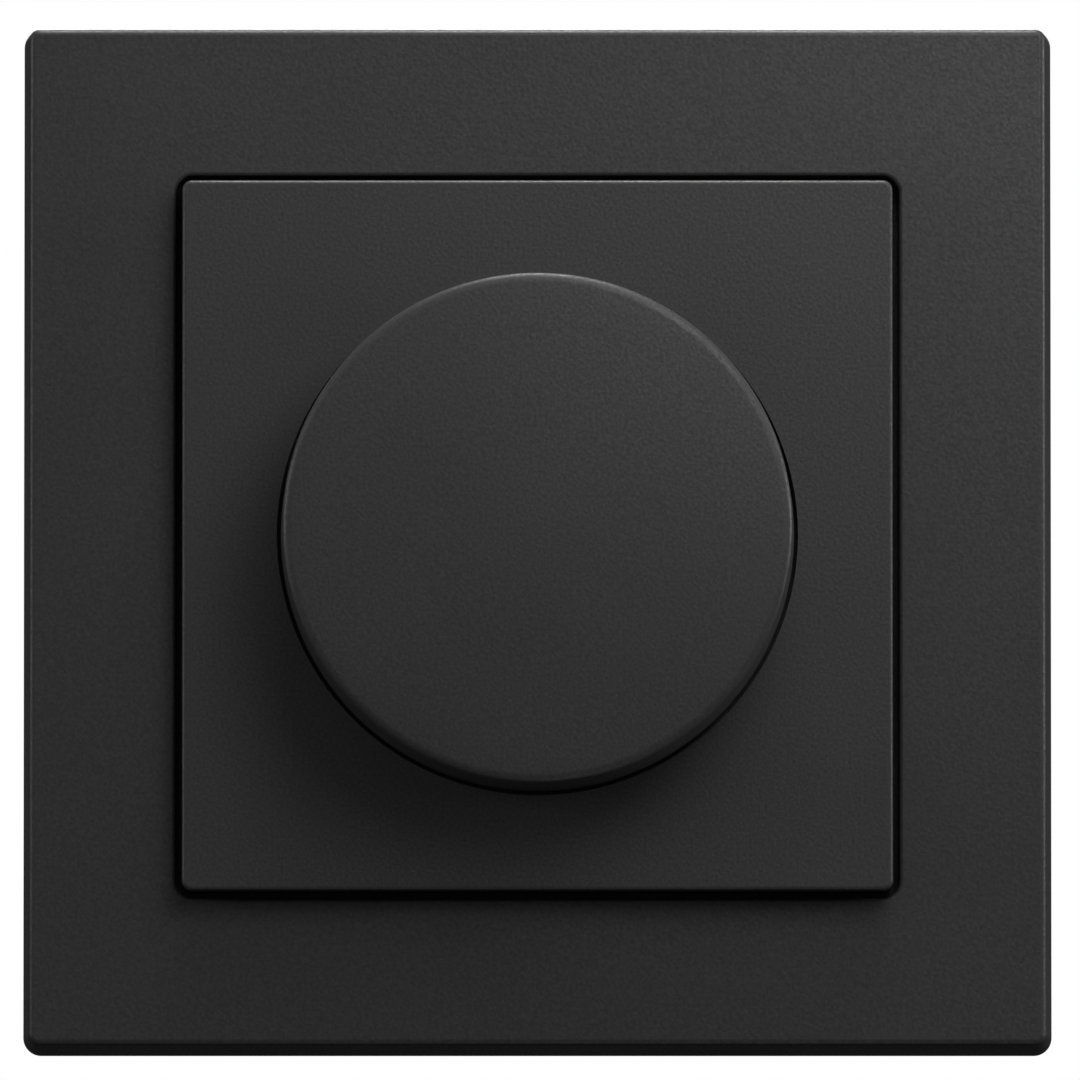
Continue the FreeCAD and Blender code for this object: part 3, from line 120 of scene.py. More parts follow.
def ring_angles(count: int) -> np.ndarray:
    """Give evenly spaced angles of one turn, the first at zero."""
    return np.arange(count) * FULL_TURN / count


def around(angles: np.ndarray, radius: np.ndarray | float, level: np.ndarray | float) -> np.ndarray:
    """Place points about the z axis: (radius * cos(a), radius * sin(a), level) at each angle a."""
    right, up = radius * np.cos(angles), radius * np.sin(angles)
    return np.stack(np.broadcast_arrays(right, up, level), axis=-1)


def toned(colour: Colour, factor: float) -> Colour:
    """Make a colour lighter or darker by a factor."""
    return tuple(channel * factor for channel in colour)


def middle(low: np.ndarray, high: np.ndarray, axis: int) -> float:
    """Give the middle between two corners along an axis of the front view."""
    return (low[axis] + high[axis]) / 2


def fillet_profile(outline: Profile, radius: float, steps: int = 5) -> np.ndarray:
    """Round every corner of a closed outline with an arc of one radius.

    At each corner the arc touches both sides at the same distance d = radius / tan(half corner
    angle), and its points are the circle's points between the two touching points.

    Args:
        outline: Corners as (radius from the axis, level), in order.
        radius: Radius of the rounding.
        steps: Points in each arc.

    Returns:
        Array of rounded outline points, two numbers each.
    """
    corners = np.array(outline, float)
    before = np.roll(corners, 1, axis=0) - corners
    after = np.roll(corners, -1, axis=0) - corners
    before /= np.linalg.norm(before, axis=1, keepdims=True)
    after /= np.linalg.norm(after, axis=1, keepdims=True)
    half = np.arccos(np.clip((before * after).sum(axis=1), -1, 1)) / 2
    bisector = before + after
    bisector /= np.linalg.norm(bisector, axis=1, keepdims=True)
    centre = corners + bisector * (radius / np.sin(half))[:, None]
    start = corners + before * (radius / np.tan(half))[:, None] - centre
    end = corners + after * (radius / np.tan(half))[:, None] - centre
    share = np.linspace(0, 1, steps)[None, :, None]
    blend = start[:, None] * (1 - share) + end[:, None] * share
    blend *= radius / np.linalg.norm(blend, axis=2, keepdims=True)
    return (centre[:, None] + blend).reshape(-1, 2)


def into_scene(name: str, data: bpy.types.ID) -> bpy.types.Object:
    """Make an object of a mesh, a lamp or a camera and put it into the scene."""
    made = bpy.data.objects.new(name, data)
    bpy.context.scene.collection.objects.link(made)
    return made


@dataclass
class Shell:
    """Vertices and faces of one piece, gathered from grids of points.

    Attributes:
        name: Name of the finished piece.
    """

    name: str

    def __post_init__(self) -> None:
        """Start with no points and no faces."""
        self.points: list[np.ndarray] = []
        self.faces: list[list[int]] = []
        self.marks: list[int] = []

    def add_points(self, points: np.ndarray) -> np.ndarray:
        """Add vertices and give their numbers in the shape of the array.

        Args:
            points: Array whose last axis holds x, y and z in millimetres.

        Returns:
            Vertex numbers, shaped as the array without its last axis.
        """
        start = sum(len(block) for block in self.points)
        flat = points.reshape(-1, 3)
        self.points.append(flat)
        return np.arange(start, start + len(flat)).reshape(points.shape[:-1])

    def add_quads(self, numbers: np.ndarray, close_rows: bool = False, close_columns: bool = True,
                  mark: int = 0) -> None:
        """Join a grid of vertex numbers into quads, rows along the first axis.

        Args:
            numbers: Grid of vertex numbers.
            close_rows: Whether the last row joins the first.
            close_columns: Whether the last column joins the first.
            mark: Finish slot of the faces.
        """
        rows = np.vstack([numbers, numbers[:1]]) if close_rows else numbers
        grid = np.hstack([rows, rows[:, :1]]) if close_columns else rows
        quads = np.stack([grid[:-1, :-1], grid[:-1, 1:], grid[1:, 1:], grid[1:, :-1]], axis=-1)
        found = quads.reshape(-1, 4).tolist()
        self.faces += found
        self.marks += [mark] * len(found)

    def add_face(self, numbers: list[int] | np.ndarray, mark: int = 0) -> None:
        """Add one flat face from vertex numbers in counter-clockwise order."""
        self.faces.append([int(number) for number in numbers])
        self.marks.append(mark)

    def add_grid(self, points: np.ndarray, close_rows: bool = False, close_columns: bool = True,
                 mark: int = 0) -> np.ndarray:
        """Add a grid of points as a surface and give its vertex numbers."""
        numbers = self.add_points(points)
        self.add_quads(numbers, close_rows, close_columns, mark)
        return numbers

    def add_capped(self, points: np.ndarray, mark: int = 0) -> None:
        """Add a grid of points as a surface and close its first and its last row with a face."""
        numbers = self.add_grid(points, mark=mark)
        self.add_face(numbers[0][::-1], mark)
        self.add_face(numbers[-1], mark)

    def add_tube(self, line: np.ndarray, radius: float, sides: int = 8, mark: int = 0,
                 up: Triple = (0.0, 0.0, 1.0)) -> None:
        """Carry a circle of one radius along a line.

        At each point the circle lies square to the line's direction t, in the plane of n, which is
        the part of a fixed up vector that is square to t, and of b = t x n.

        Args:
            line: Points of the centreline in millimetres.
            radius: Radius of the tube.
            sides: Points round the circle.
            mark: Finish slot of the faces.
            up: Vector that sets how the circles are turned.
        """
        along = np.gradient(line, axis=0)
        along /= np.linalg.norm(along, axis=1, keepdims=True)
        side = np.array(up, float) - along * (along @ np.array(up, float))[:, None]
        side /= np.linalg.norm(side, axis=1, keepdims=True)
        across = np.cross(along, side)
        turn = ring_angles(sides)
        circle = (side[:, None] * np.cos(turn)[None, :, None]
                  + across[:, None] * np.sin(turn)[None, :, None]) * radius
        self.add_capped(line[:, None] + circle, mark)

    def add_strip(self, path: Profile, width: float, low: float, high: float) -> None:
        """Lay a flat strip along a path, its corners mitred.

        At an inner point of the path the strip's edge lies on the sum of the two normals, stretched
        by 1 / cos(half the turn) so that the strip keeps its width.

        Args:
            path: Points of the middle line as x and y in millimetres.
            width: Width of the strip.
            low: Level of its underside.
            high: Level of its top.
        """
        line = np.array(path, float)
        run = np.diff(line, axis=0)
        run /= np.linalg.norm(run, axis=1, keepdims=True)
        normal = np.stack([-run[:, 1], run[:, 0]], axis=1)
        before = np.vstack([normal[:1], normal])
        after = np.vstack([normal, normal[-1:]])
        mitre = before + after
        mitre *= width / (mitre * before).sum(axis=1, keepdims=True) / 2
        corners = [(mitre, low), (mitre, high), (-mitre, high), (-mitre, low)]
        rows = [np.column_stack([line + side, np.full(len(line), level)])
                for side, level in corners]
        self.add_capped(np.stack(rows, axis=1))

    def add_prism(self, outline: np.ndarray, low: float, high: float) -> None:
        """Raise a counter-clockwise outline of x and y between two levels.

        Args:
            outline: Corners, two numbers each, in millimetres.
            low: Level of its lower end.
            high: Level of its upper end.
        """
        rows = [np.column_stack([outline, np.full(len(outline), level)]) for level in (low, high)]
        self.add_capped(np.stack(rows))

    def add_turned(self, profile: Profile, axis: Axis, centre: Triple, sides: int,
                   marks: list[int] | None = None) -> None:
        """Turn a profile about an axis and close both ends.

        Args:
            profile: Points as (radius, level along the axis), from the low end to the high end.
            axis: Axis to turn about.
            centre: Point that the axis passes through.
            sides: Number of points round the axis.
            marks: Finish slot of each step of the profile, or none for the first slot.
        """
        turn = ring_angles(sides)
        marks = marks or [0] * (len(profile) - 1)
        rows = [around(turn, radius, level) for radius, level in profile]
        numbers = self.add_points(stand(np.stack(rows), axis, centre))
        for step, mark in enumerate(marks):
            self.add_quads(numbers[step:step + 2], mark=mark)
        self.add_face(numbers[0][::-1], marks[0])
        self.add_face(numbers[-1], marks[-1])

    def build(self, body: str, finishes: list[bpy.types.Material], *nodes: str) -> bpy.types.Object:
        """Make the mesh and its object, dress it and let it ride on its body.

        Args:
            body: Body of the frame that the piece moves with.
            finishes: Materials, in the order of the marks.
            nodes: Nodes of the frame that the piece stands for.

        Returns:
            The finished object.
        """
        mesh = bpy.data.meshes.new(self.name)
        mesh.from_pydata(to_room(np.vstack(self.points)), [], self.faces)
        mesh.polygons.foreach_set("material_index", np.array(self.marks, np.int32))
        mesh.polygons.foreach_set("use_smooth", np.ones(len(self.faces), bool))
        mesh.set_sharp_from_angle(angle=SMOOTH_ANGLE)
        mesh.validate()
        for finish in finishes:
            mesh.materials.append(finish)
        piece = into_scene(self.name, mesh)
        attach(piece, body)
        if nodes:
            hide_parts(*nodes)
        LOG.info("built %s with %d faces on %s", self.name, len(self.faces), body)
        return piece


Value = bpy.types.NodeSocket | float | Colour


class Tree:
    """Node tree of a material or of the world, with short calls for what both need."""

    def __init__(self, owner: bpy.types.Material | bpy.types.World) -> None:
        """Turn on the nodes of the owner."""
        owner.use_nodes = True
        self.tree = owner.node_tree

    def give(self, socket: bpy.types.NodeSocket, value: Value) -> None:
        """Give a socket a link, a number, a colour or a vector."""
        if isinstance(value, bpy.types.NodeSocket):
            self.tree.links.new(value, socket)
        elif isinstance(value, tuple) and len(socket.default_value) == 4:
            socket.default_value = (*value, 1.0)
        else:
            socket.default_value = value

    def node(self, kind: str, inputs: dict[str | int, Value]) -> bpy.types.Node:
        """Add a node and give its inputs, by name or by number, their values."""
        node = self.tree.nodes.new(kind)
        for key, value in inputs.items():
            self.give(node.inputs[key], value)
        return node

    def ranged(self, source: bpy.types.NodeSocket, low: float, high: float, start: float = 0.3,
               end: float = 0.7) -> bpy.types.NodeSocket:
        """Spread a value between two limits, clamped, from where it passes start to end."""
        limits = {"From Min": start, "From Max": end, "To Min": low, "To Max": high}
        return self.node("ShaderNodeMapRange", {"Value": source, **limits}).outputs["Result"]

    def maths(self, operation: str, one: Value, two: Value) -> bpy.types.NodeSocket:
        """Work out one operation on two values."""
        node = self.node("ShaderNodeMath", {0: one, 1: two})
        node.operation = operation
        return node.outputs[0]


class Graph(Tree):
    """Node tree of one material, with short calls for the patterns that the finishes share."""

    def __init__(self, name: str) -> None:
        """Start a material with its principled shader."""
        self.material = bpy.data.materials.new(name)
        super().__init__(self.material)
        self.shader = self.tree.nodes["Principled BSDF"]
        self.place = self.node("ShaderNodeTexCoord", {}).outputs["Object"]

    def pattern(self, kind: Noise, size_mm: float, detail: float = 2.0,
                stretch: Triple = (1.0, 1.0, 1.0)) -> bpy.types.NodeSocket:
        """Give a noise value whose features measure about a size.

        Args:
            kind: Pattern to use.
            size_mm: Size of a feature in millimetres.
            detail: Octaves of a cloud pattern.
            stretch: Scale along each room axis; a small number draws the features out.

        Returns:
            Socket with a value from 0 to 1.
        """
        place = self.node("ShaderNodeMapping", {"Vector": self.place, "Scale": stretch}).outputs[0]
        node = self.node(kind.value, {"Vector": place, "Scale": 1 / (size_mm * MM)})
        if kind is Noise.CLOUD:
            self.give(node.inputs["Detail"], detail)
        return node.outputs["Factor" if "Factor" in node.outputs else 0]

    def mixed(self, factor: bpy.types.NodeSocket, one: Value, two: Value) -> bpy.types.NodeSocket:
        """Mix two colours, or the colours of two sockets, by a factor."""
        node = self.tree.nodes.new("ShaderNodeMix")
        node.data_type = "RGBA"
        for key, value in ((0, factor), (6, one), (7, two)):
            self.give(node.inputs[key], value)
        return node.outputs[2]

    def bump(self, height: bpy.types.NodeSocket, depth_mm: float,
             under: bpy.types.NodeSocket | None = None) -> bpy.types.NodeSocket:
        """Raise the surface by a pattern.

        Args:
            height: Pattern from 0 to 1.
            depth_mm: Height of the relief in millimetres.
            under: Normal of a coarser relief that this one is laid on.

        Returns:
            Socket with the new normal.
        """
        inputs = {"Distance": depth_mm * MM, "Height": height}
        if under is not None:
            inputs["Normal"] = under
        return self.node("ShaderNodeBump", inputs).outputs["Normal"]

    def use(self, socket: str, value: Value) -> None:
        """Give a socket of the shader a pattern or a plain value."""
        self.give(self.shader.inputs[socket], value)


@dataclass(frozen=True)
class MouldedPlastic:
    """Moulded plastic with the fine grain of a spark-eroded tool.

    Attributes:
        name: Name of the material.
        colour: Colour of the plastic.
        roughness: Middle roughness.
        grain_mm: Size of the grain.
        grain_depth_mm: Height of the grain.
        speckle: Share by which the colour changes from grain to grain.
        specular: Specular level, lower for a soft-touch surface.
        coat: Weight of a glossy skin.
        gloss_change: Amount by which the roughness changes from grain to grain.
    """

    name: str
    colour: Colour
    roughness: float = 0.5
    grain_mm: float = 0.14
    grain_depth_mm: float = 0.004
    speckle: float = 0.12
    specular: float = 0.4
    coat: float = 0.0
    gloss_change: float = 0.0

    def material(self) -> bpy.types.Material:
        """Grow the material: speckled colour, clouded roughness and two sizes of grain."""
        graph = Graph(self.name)
        grain = graph.pattern(Noise.CLOUD, self.grain_mm, 1.0)
        cloud = graph.pattern(Noise.CLOUD, 60 * self.grain_mm)
        cells = graph.pattern(Noise.CELL, 1.6 * self.grain_mm)
        dark, light = toned(self.colour, 1 - self.speckle), toned(self.colour, 1 + self.speckle)
        graph.use("Base Color", graph.mixed(graph.ranged(grain, 0, 1, 0.25, 0.75), dark, light))
        clouded = graph.ranged(cloud, self.roughness - 0.04, self.roughness + 0.04)
        grained = graph.ranged(grain, self.gloss_change, -self.gloss_change, 0.25, 0.75)
        graph.use("Roughness", graph.maths("ADD", clouded, grained))
        graph.use("Specular IOR Level", self.specular)
        graph.use("Coat Weight", self.coat)
        graph.use("Coat Roughness", 0.12)
        fine = graph.bump(grain, self.grain_depth_mm)
        graph.use("Normal", graph.bump(cells, self.grain_depth_mm * 0.5, fine))
        return graph.material


@dataclass(frozen=True)
class WorkedMetal:
    """Rolled, turned or plated metal.

    Attributes:
        name: Name of the material.
        colour: Colour of the clean metal.
        stain: Colour where the plating or the metal is a little dulled.
        roughness: Middle roughness.
        line_mm: Width of the rolling or turning lines.
        stretch: Scale of the lines along each room axis.
        line_depth_mm: Height of the lines.
        spangle_mm: Size of the zinc spangles, or none at zero.
    """

    name: str
    colour: Colour
    stain: Colour
    roughness: float = 0.3
    line_mm: float = 0.12
    stretch: Triple = (0.04, 1.0, 1.0)
    line_depth_mm: float = 0.0015
    spangle_mm: float = 0.0

    def material(self) -> bpy.types.Material:
        """Grow the material: dulled patches, drawn-out lines and, on zinc, spangles."""
        graph = Graph(self.name)
        patches = graph.pattern(Noise.CLOUD, 5.0, 4.0)
        lines = graph.pattern(Noise.CLOUD, self.line_mm, 2.0, self.stretch)
        colour = graph.mixed(graph.ranged(patches, 0, 1, 0.42, 0.72), self.colour, self.stain)
        rough = graph.ranged(lines, self.roughness - 0.07, self.roughness + 0.09)
        if self.spangle_mm:
            cells = graph.node(Noise.CELL.value, {"Vector": graph.place,
                                                  "Scale": 1 / (self.spangle_mm * MM)})
            tone = graph.node("ShaderNodeSeparateColor", {0: cells.outputs["Color"]}).outputs
            shade = graph.ranged(tone[0], 0, 0.35, 0.0, 1.0)
            colour = graph.mixed(shade, colour, self.stain)
            rough = graph.maths("ADD", rough, graph.ranged(tone[1], -0.05, 0.06, 0.0, 1.0))
        graph.use("Base Color", colour)
        graph.use("Metallic", 1.0)
        graph.use("Roughness", rough)
        graph.use("Normal", graph.bump(lines, self.line_depth_mm))
        return graph.material


@dataclass(frozen=True)
class CoatedBoard:
    """Glass-fibre board under green solder resist.

    Attributes:
        name: Name of the material.
        resist: Colour of the resist over bare board.
        weave_mm: Pitch of the glass weave.
    """

    name: str
    resist: Colour = (0.025, 0.16, 0.06)
    weave_mm: float = 0.55

    def material(self) -> bpy.types.Material:
        """Grow the material: crossed sine waves make the weave under a glossy coat."""
        graph = Graph(self.name)
        waves = []
        for direction in ("X", "Z"):
            wave = graph.node("ShaderNodeTexWave", {"Vector": graph.place,
                                                    "Scale": 0.314 / (self.weave_mm * MM)})
            wave.bands_direction = direction
            waves.append(wave.outputs[1])
        weave = graph.maths("MULTIPLY", waves[0], waves[1])
        graph.use("Base Color", graph.mixed(weave, self.resist, toned(self.resist, 1.35)))
        graph.use("Roughness", graph.ranged(graph.pattern(Noise.CLOUD, 2.0), 0.28, 0.4))
        graph.use("Coat Weight", 0.4)
        graph.use("Coat Roughness", 0.1)
        graph.use("Normal", graph.bump(weave, 0.004))
        return graph.material


@dataclass(frozen=True)
class ClearGlass:
    """Clear drawn glass of the fuse.

    Attributes:
        name: Name of the material.
        tint: Colour of the glass.
    """

    name: str
    tint: Colour = (0.93, 0.97, 0.96)

    def material(self) -> bpy.types.Material:
        """Grow the material: transmission with faint drawing lines along the tube."""
        graph = Graph(self.name)
        lines = graph.pattern(Noise.CLOUD, 0.4, 2.0, (0.05, 1.0, 1.0))
        graph.use("Base Color", self.tint)
        graph.use("Transmission Weight", 1.0)
        graph.use("IOR", 1.5)
        graph.use("Roughness", graph.ranged(lines, 0.02, 0.06))
        graph.use("Normal", graph.bump(lines, 0.001))
        return graph.material


@dataclass(frozen=True)
class Sintered:
    """Pressed and fired ferrite with open pores.

    Attributes:
        name: Name of the material.
        colour: Colour of the body.
        pore_mm: Size of the pores.
    """

    name: str
    colour: Colour = (0.03, 0.031, 0.033)
    pore_mm: float = 0.18

    def material(self) -> bpy.types.Material:
        """Grow the material: cell pattern sunk in as pores over a clouded grey."""
        graph = Graph(self.name)
        pores = graph.pattern(Noise.CELL, self.pore_mm)
        cloud = graph.pattern(Noise.CLOUD, 1.5, 4.0)
        graph.use("Base Color", graph.mixed(cloud, self.colour, toned(self.colour, 1.8)))
        graph.use("Roughness", graph.ranged(pores, 0.45, 0.7, 0.0, 0.6))
        graph.use("Normal", graph.bump(pores, 0.008))
        return graph.material


@dataclass(frozen=True)
class TwoTone:
    """One solid with two finishes, divided by its place along an axis of the room.

    Attributes:
        name: Name of the material.
        body: Colour of the moulded body.
        metal: Colour of the metal part.
        axis: Number of the room axis that divides them.
        low: Level in millimetres where the body starts.
        high: Level in millimetres where the body ends.
    """

    name: str
    body: Colour
    metal: Colour
    axis: int
    low: float
    high: float

    def material(self) -> bpy.types.Material:
        """Grow the material: a step on the divided axis chooses plastic or metal."""
        graph = Graph(self.name)
        level = graph.node("ShaderNodeSeparateXYZ", {0: graph.place}).outputs[self.axis]
        above = graph.maths("GREATER_THAN", level, self.low * MM)
        below = graph.maths("LESS_THAN", level, self.high * MM)
        inside = graph.maths("MULTIPLY", above, below)
        grain = graph.pattern(Noise.CLOUD, 0.12, 3.0)
        graph.use("Base Color", graph.mixed(inside, self.metal, self.body))
        graph.use("Metallic", graph.maths("SUBTRACT", 1.0, inside))
        rough = graph.ranged(grain, 0.32, 0.44)
        graph.use("Roughness", graph.maths("ADD", rough, graph.maths("MULTIPLY", inside, 0.15)))
        graph.use("Normal", graph.bump(grain, 0.003))
        return graph.material


ANTHRACITE = MouldedPlastic("soft_touch_anthracite", (0.029, 0.0285, 0.0287), roughness=0.43,
                            grain_mm=0.24, grain_depth_mm=0.011, speckle=0.28, specular=0.3,
                            gloss_change=0.1)
# Lighter copy of the anthracite for the centre plate and the knob. Its extra lightness is painted
# light, standing in for the extra light that these pieces catch.
ANTHRACITE_PAINTED_LIGHTER = replace(ANTHRACITE, name="soft_touch_anthracite_painted_lighter",
                            colour=(0.0314, 0.0309, 0.0311))
CAN_GREY = MouldedPlastic("moulded_light_grey", (0.42, 0.43, 0.44), roughness=0.45, speckle=0.03)
CASE_DARK = MouldedPlastic("moulded_dark_grey", (0.06, 0.06, 0.065), roughness=0.4, speckle=0.08)
CARRIER_WHITE = MouldedPlastic("moulded_white", (0.72, 0.72, 0.7), roughness=0.3, speckle=0.02,
                               grain_depth_mm=0.002)
FILM_YELLOW = MouldedPlastic("potted_yellow_case", (0.66, 0.42, 0.05), roughness=0.28, speckle=0.04,
                             grain_depth_mm=0.002, coat=0.3)
SLEEVE_BLUE = MouldedPlastic("shrink_sleeve_blue", (0.02, 0.06, 0.26), roughness=0.25, speckle=0.04,
                             grain_depth_mm=0.001, coat=0.5)
COATING_BLUE = MouldedPlastic("dipped_coating_blue", (0.03, 0.13, 0.42), roughness=0.3,
                              speckle=0.06, grain_mm=0.5, grain_depth_mm=0.02, coat=0.4)
RESISTOR_BEIGE = MouldedPlastic("resistor_lacquer_beige", (0.55, 0.43, 0.28), roughness=0.3,
                                speckle=0.04, grain_depth_mm=0.002, coat=0.5)
BAND_BROWN = MouldedPlastic("resistor_band_brown", (0.12, 0.04, 0.015), roughness=0.3, coat=0.5)
BAND_RED = MouldedPlastic("resistor_band_red", (0.45, 0.03, 0.02), roughness=0.3, coat=0.5)
BAND_GOLD = MouldedPlastic("resistor_band_gold", (0.5, 0.33, 0.08), roughness=0.25, coat=0.5)
INSULATOR = MouldedPlastic("insulating_pad_pink", (0.55, 0.36, 0.33), roughness=0.55, speckle=0.05)
TRACK_CARBON = MouldedPlastic("carbon_track", (0.05, 0.035, 0.025), roughness=0.4, speckle=0.1)
ZINC_SHEET = WorkedMetal("zinc_plated_sheet", (0.64, 0.65, 0.66), (0.57, 0.58, 0.59),
                         roughness=0.36, line_mm=0.16, spangle_mm=0.9)
ZINC_PART = WorkedMetal("zinc_plated_part", (0.68, 0.69, 0.71), (0.52, 0.53, 0.55), roughness=0.28,
                        stretch=(1.0, 0.08, 1.0))
CHROMATED = WorkedMetal("yellow_chromated_steel", (0.62, 0.5, 0.26), (0.55, 0.4, 0.3),
                        roughness=0.3, stretch=(1.0, 0.06, 1.0))
NICKEL = WorkedMetal("nickel_plated_brass", (0.7, 0.66, 0.58), (0.6, 0.55, 0.48), roughness=0.24,
                     stretch=(1.0, 0.3, 1.0))
BRASS = WorkedMetal("turned_brass", (0.78, 0.55, 0.22), (0.6, 0.4, 0.16), roughness=0.27,
                    stretch=(0.3, 1.0, 0.3))
SPRING_STEEL = WorkedMetal("bright_spring_steel", (0.58, 0.58, 0.58), (0.42, 0.42, 0.43),
                           roughness=0.25)
SOLDER = WorkedMetal("solder", (0.72, 0.73, 0.75), (0.55, 0.56, 0.58), roughness=0.2, line_mm=0.6,
                     stretch=(1.0, 1.0, 1.0))
COPPER_WIRE = WorkedMetal("enamelled_copper", (0.62, 0.23, 0.08), (0.5, 0.16, 0.05), roughness=0.22,
                          line_mm=0.3, stretch=(1.0, 1.0, 1.0))
COPPER_TRACK = MouldedPlastic("resist_over_copper", (0.05, 0.26, 0.09), roughness=0.3, speckle=0.03,
                              grain_depth_mm=0.001, coat=0.4)
BOARD = CoatedBoard("solder_resist_green")
GLASS = ClearGlass("drawn_glass")
FERRITE = Sintered("fired_ferrite")


Finish = MouldedPlastic | WorkedMetal | CoatedBoard | ClearGlass | Sintered | TwoTone


class Workshop:
    """Keeps each finish's material once and dresses the nodes that keep their own shape."""

    def __init__(self) -> None:
        """Start with no material made."""
        self.made: dict[str, bpy.types.Material] = {}

    def material(self, finish: Finish) -> bpy.types.Material:
        """Give the material of a finish, grown at its first use."""
        if finish.name not in self.made:
            self.made[finish.name] = finish.material()
        return self.made[finish.name]

    def dress(self, finish: Finish, *nodes: str) -> None:
        """Give nodes of the frame a better material in place of their plain one."""
        for node in nodes:
            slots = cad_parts[node].data.materials
            slots.clear()
            slots.append(self.material(finish))
            LOG.info("dressed %s in %s", node, finish.name)


@dataclass
class Group:
    """Pieces that are built and dressed together.

    Attributes:
        workshop: Source of the materials.
    """

    workshop: Workshop


def threaded_rows(crest: float, depth: float, pitch: float, low: float, high: float,
                  angles: np.ndarray) -> np.ndarray:
    """Work out the surface of a threaded rod between two levels.

    The radius at level z and angle a is crest - depth * g(z / pitch - a / one turn). The groove g
    is a triangle wave with its tips cut flat. Towards both ends the rod narrows at 45 degrees to
    its root.

    Args:
        crest: Outer radius.
        depth: Depth of the groove.
        pitch: Rise of one turn.
        low: Level of the lower end.
        high: Level of the upper end.
        angles: Angles of the columns.

    Returns:
        Grid of points about the z axis, with a row for each level.
    """
    rows_per_turn, flat = 8, 0.12
    rows = max(4, int(math.ceil((high - low) / pitch * rows_per_turn)))
    level = np.linspace(low, high, rows + 1)[:, None]
    phase = np.mod(level / pitch - angles[None, :] / FULL_TURN, 1.0)
    groove = np.clip((np.abs(2 * phase - 1) - flat) / (1 - 2 * flat), 0, 1)
    ends = np.minimum(level - low, high - level) + crest - depth
    return around(angles, np.minimum(crest - depth * groove, ends), level)


def stand(points: np.ndarray, axis: Axis, centre: Triple) -> np.ndarray:
    """Stand points that were worked out about the z axis on another axis and centre.

    Args:
        points: Points about the z axis.
        axis: Axis that they are to stand on.
        centre: Point that the axis passes through.

    Returns:
        Points in the front view. The axes are turned in a cycle, so no face is turned inside out.
    """
    turned = np.empty_like(points)
    turned[..., list(axis.value)] = points
    return turned + np.array(centre, float)


@dataclass
class SlottedScrew:
    """Screw with a straight slot, threaded along its shank.

    Attributes:
        radius: Outer radius of the thread.
        pitch: Rise of the thread.
        tip: Level of the tip on the screw's own axis.
        seat: Level at which the thread ends and the head starts.
        head_radius: Radius of the head, or the thread's own radius on a grub screw.
        head_height: Height of the head, or of the plain end of a grub screw.
        slot: Width of the slot.
        slot_depth: Depth of the slot.
    """

    radius: float
    pitch: float
    tip: float
    seat: float
    head_radius: float
    head_height: float
    slot: float = 0.8
    slot_depth: float = 0.9

    def add_to(self, shell: Shell, axis: Axis, centre: Triple, flip: bool = False,
               turn: float = 0.0) -> None:
        """Add the screw to a piece, all its surfaces joined along shared rings.

        Args:
            shell: Piece to add to.
            axis: Axis that the screw stands on.
            centre: Point that the axis passes through.
            flip: Whether the head points against the axis.
            turn: Angle by which the slot is turned about the screw's axis.
        """
        reach = math.asin(self.slot / 2 / self.head_radius)
        arc = np.linspace(reach, math.pi - reach, HALF_HEAD)
        floor_arc = np.linspace(math.pi - reach, math.pi + reach, 3)[1:-1]
        angles = np.concatenate([arc, floor_arc, arc + math.pi, floor_arc + math.pi])
        top = self.seat + self.head_height
        bottom = top - self.slot_depth

        def placed(points: np.ndarray) -> np.ndarray:
            """Turn the slot, flip the screw if asked and stand it on its axis."""
            cosine, sine = math.cos(turn), math.sin(turn)
            right, up, level = np.moveaxis(points, -1, 0)
            out = np.stack([right * cosine - up * sine, right * sine + up * cosine, level], axis=-1)
            if flip:
                out = out * np.array([1.0, -1.0, -1.0])
            return stand(out, axis, centre)

        edge = min(BROKEN_EDGE, self.head_height / 4)
        depth = BOLT_GROOVE * self.pitch
        rows = [*threaded_rows(self.radius, depth, self.pitch, self.tip, self.seat, angles)]
        if self.head_radius > self.radius:
            rows += [around(angles, self.head_radius - edge, self.seat),
                     around(angles, self.head_radius, self.seat + edge)]
        rows.append(around(angles, self.head_radius, bottom))
        numbers = shell.add_grid(placed(np.stack(rows)))
        shell.add_face(numbers[0][::-1])
        low = numbers[-1]
        first, second = np.arange(HALF_HEAD), np.arange(HALF_HEAD) + HALF_HEAD + 1
        upper = [*first, *second]
        rim = shell.add_points(placed(around(angles, self.head_radius, top - edge)[upper]))
        crown = shell.add_points(placed(around(angles, self.head_radius - edge, top)[upper]))
        for wall, place in ((low[first], first), (low[second], second - 1)):
            side, brow = rim[place], crown[place]
            shell.add_quads(np.stack([wall, side, brow]), close_columns=False)
            shell.add_face(brow)
            shell.add_face([wall[0], side[0], brow[0], brow[-1], side[-1], wall[-1]][::-1])
        shell.add_face(low[[first[0], first[-1], HALF_HEAD, second[0], second[-1], second[-1] + 1]])


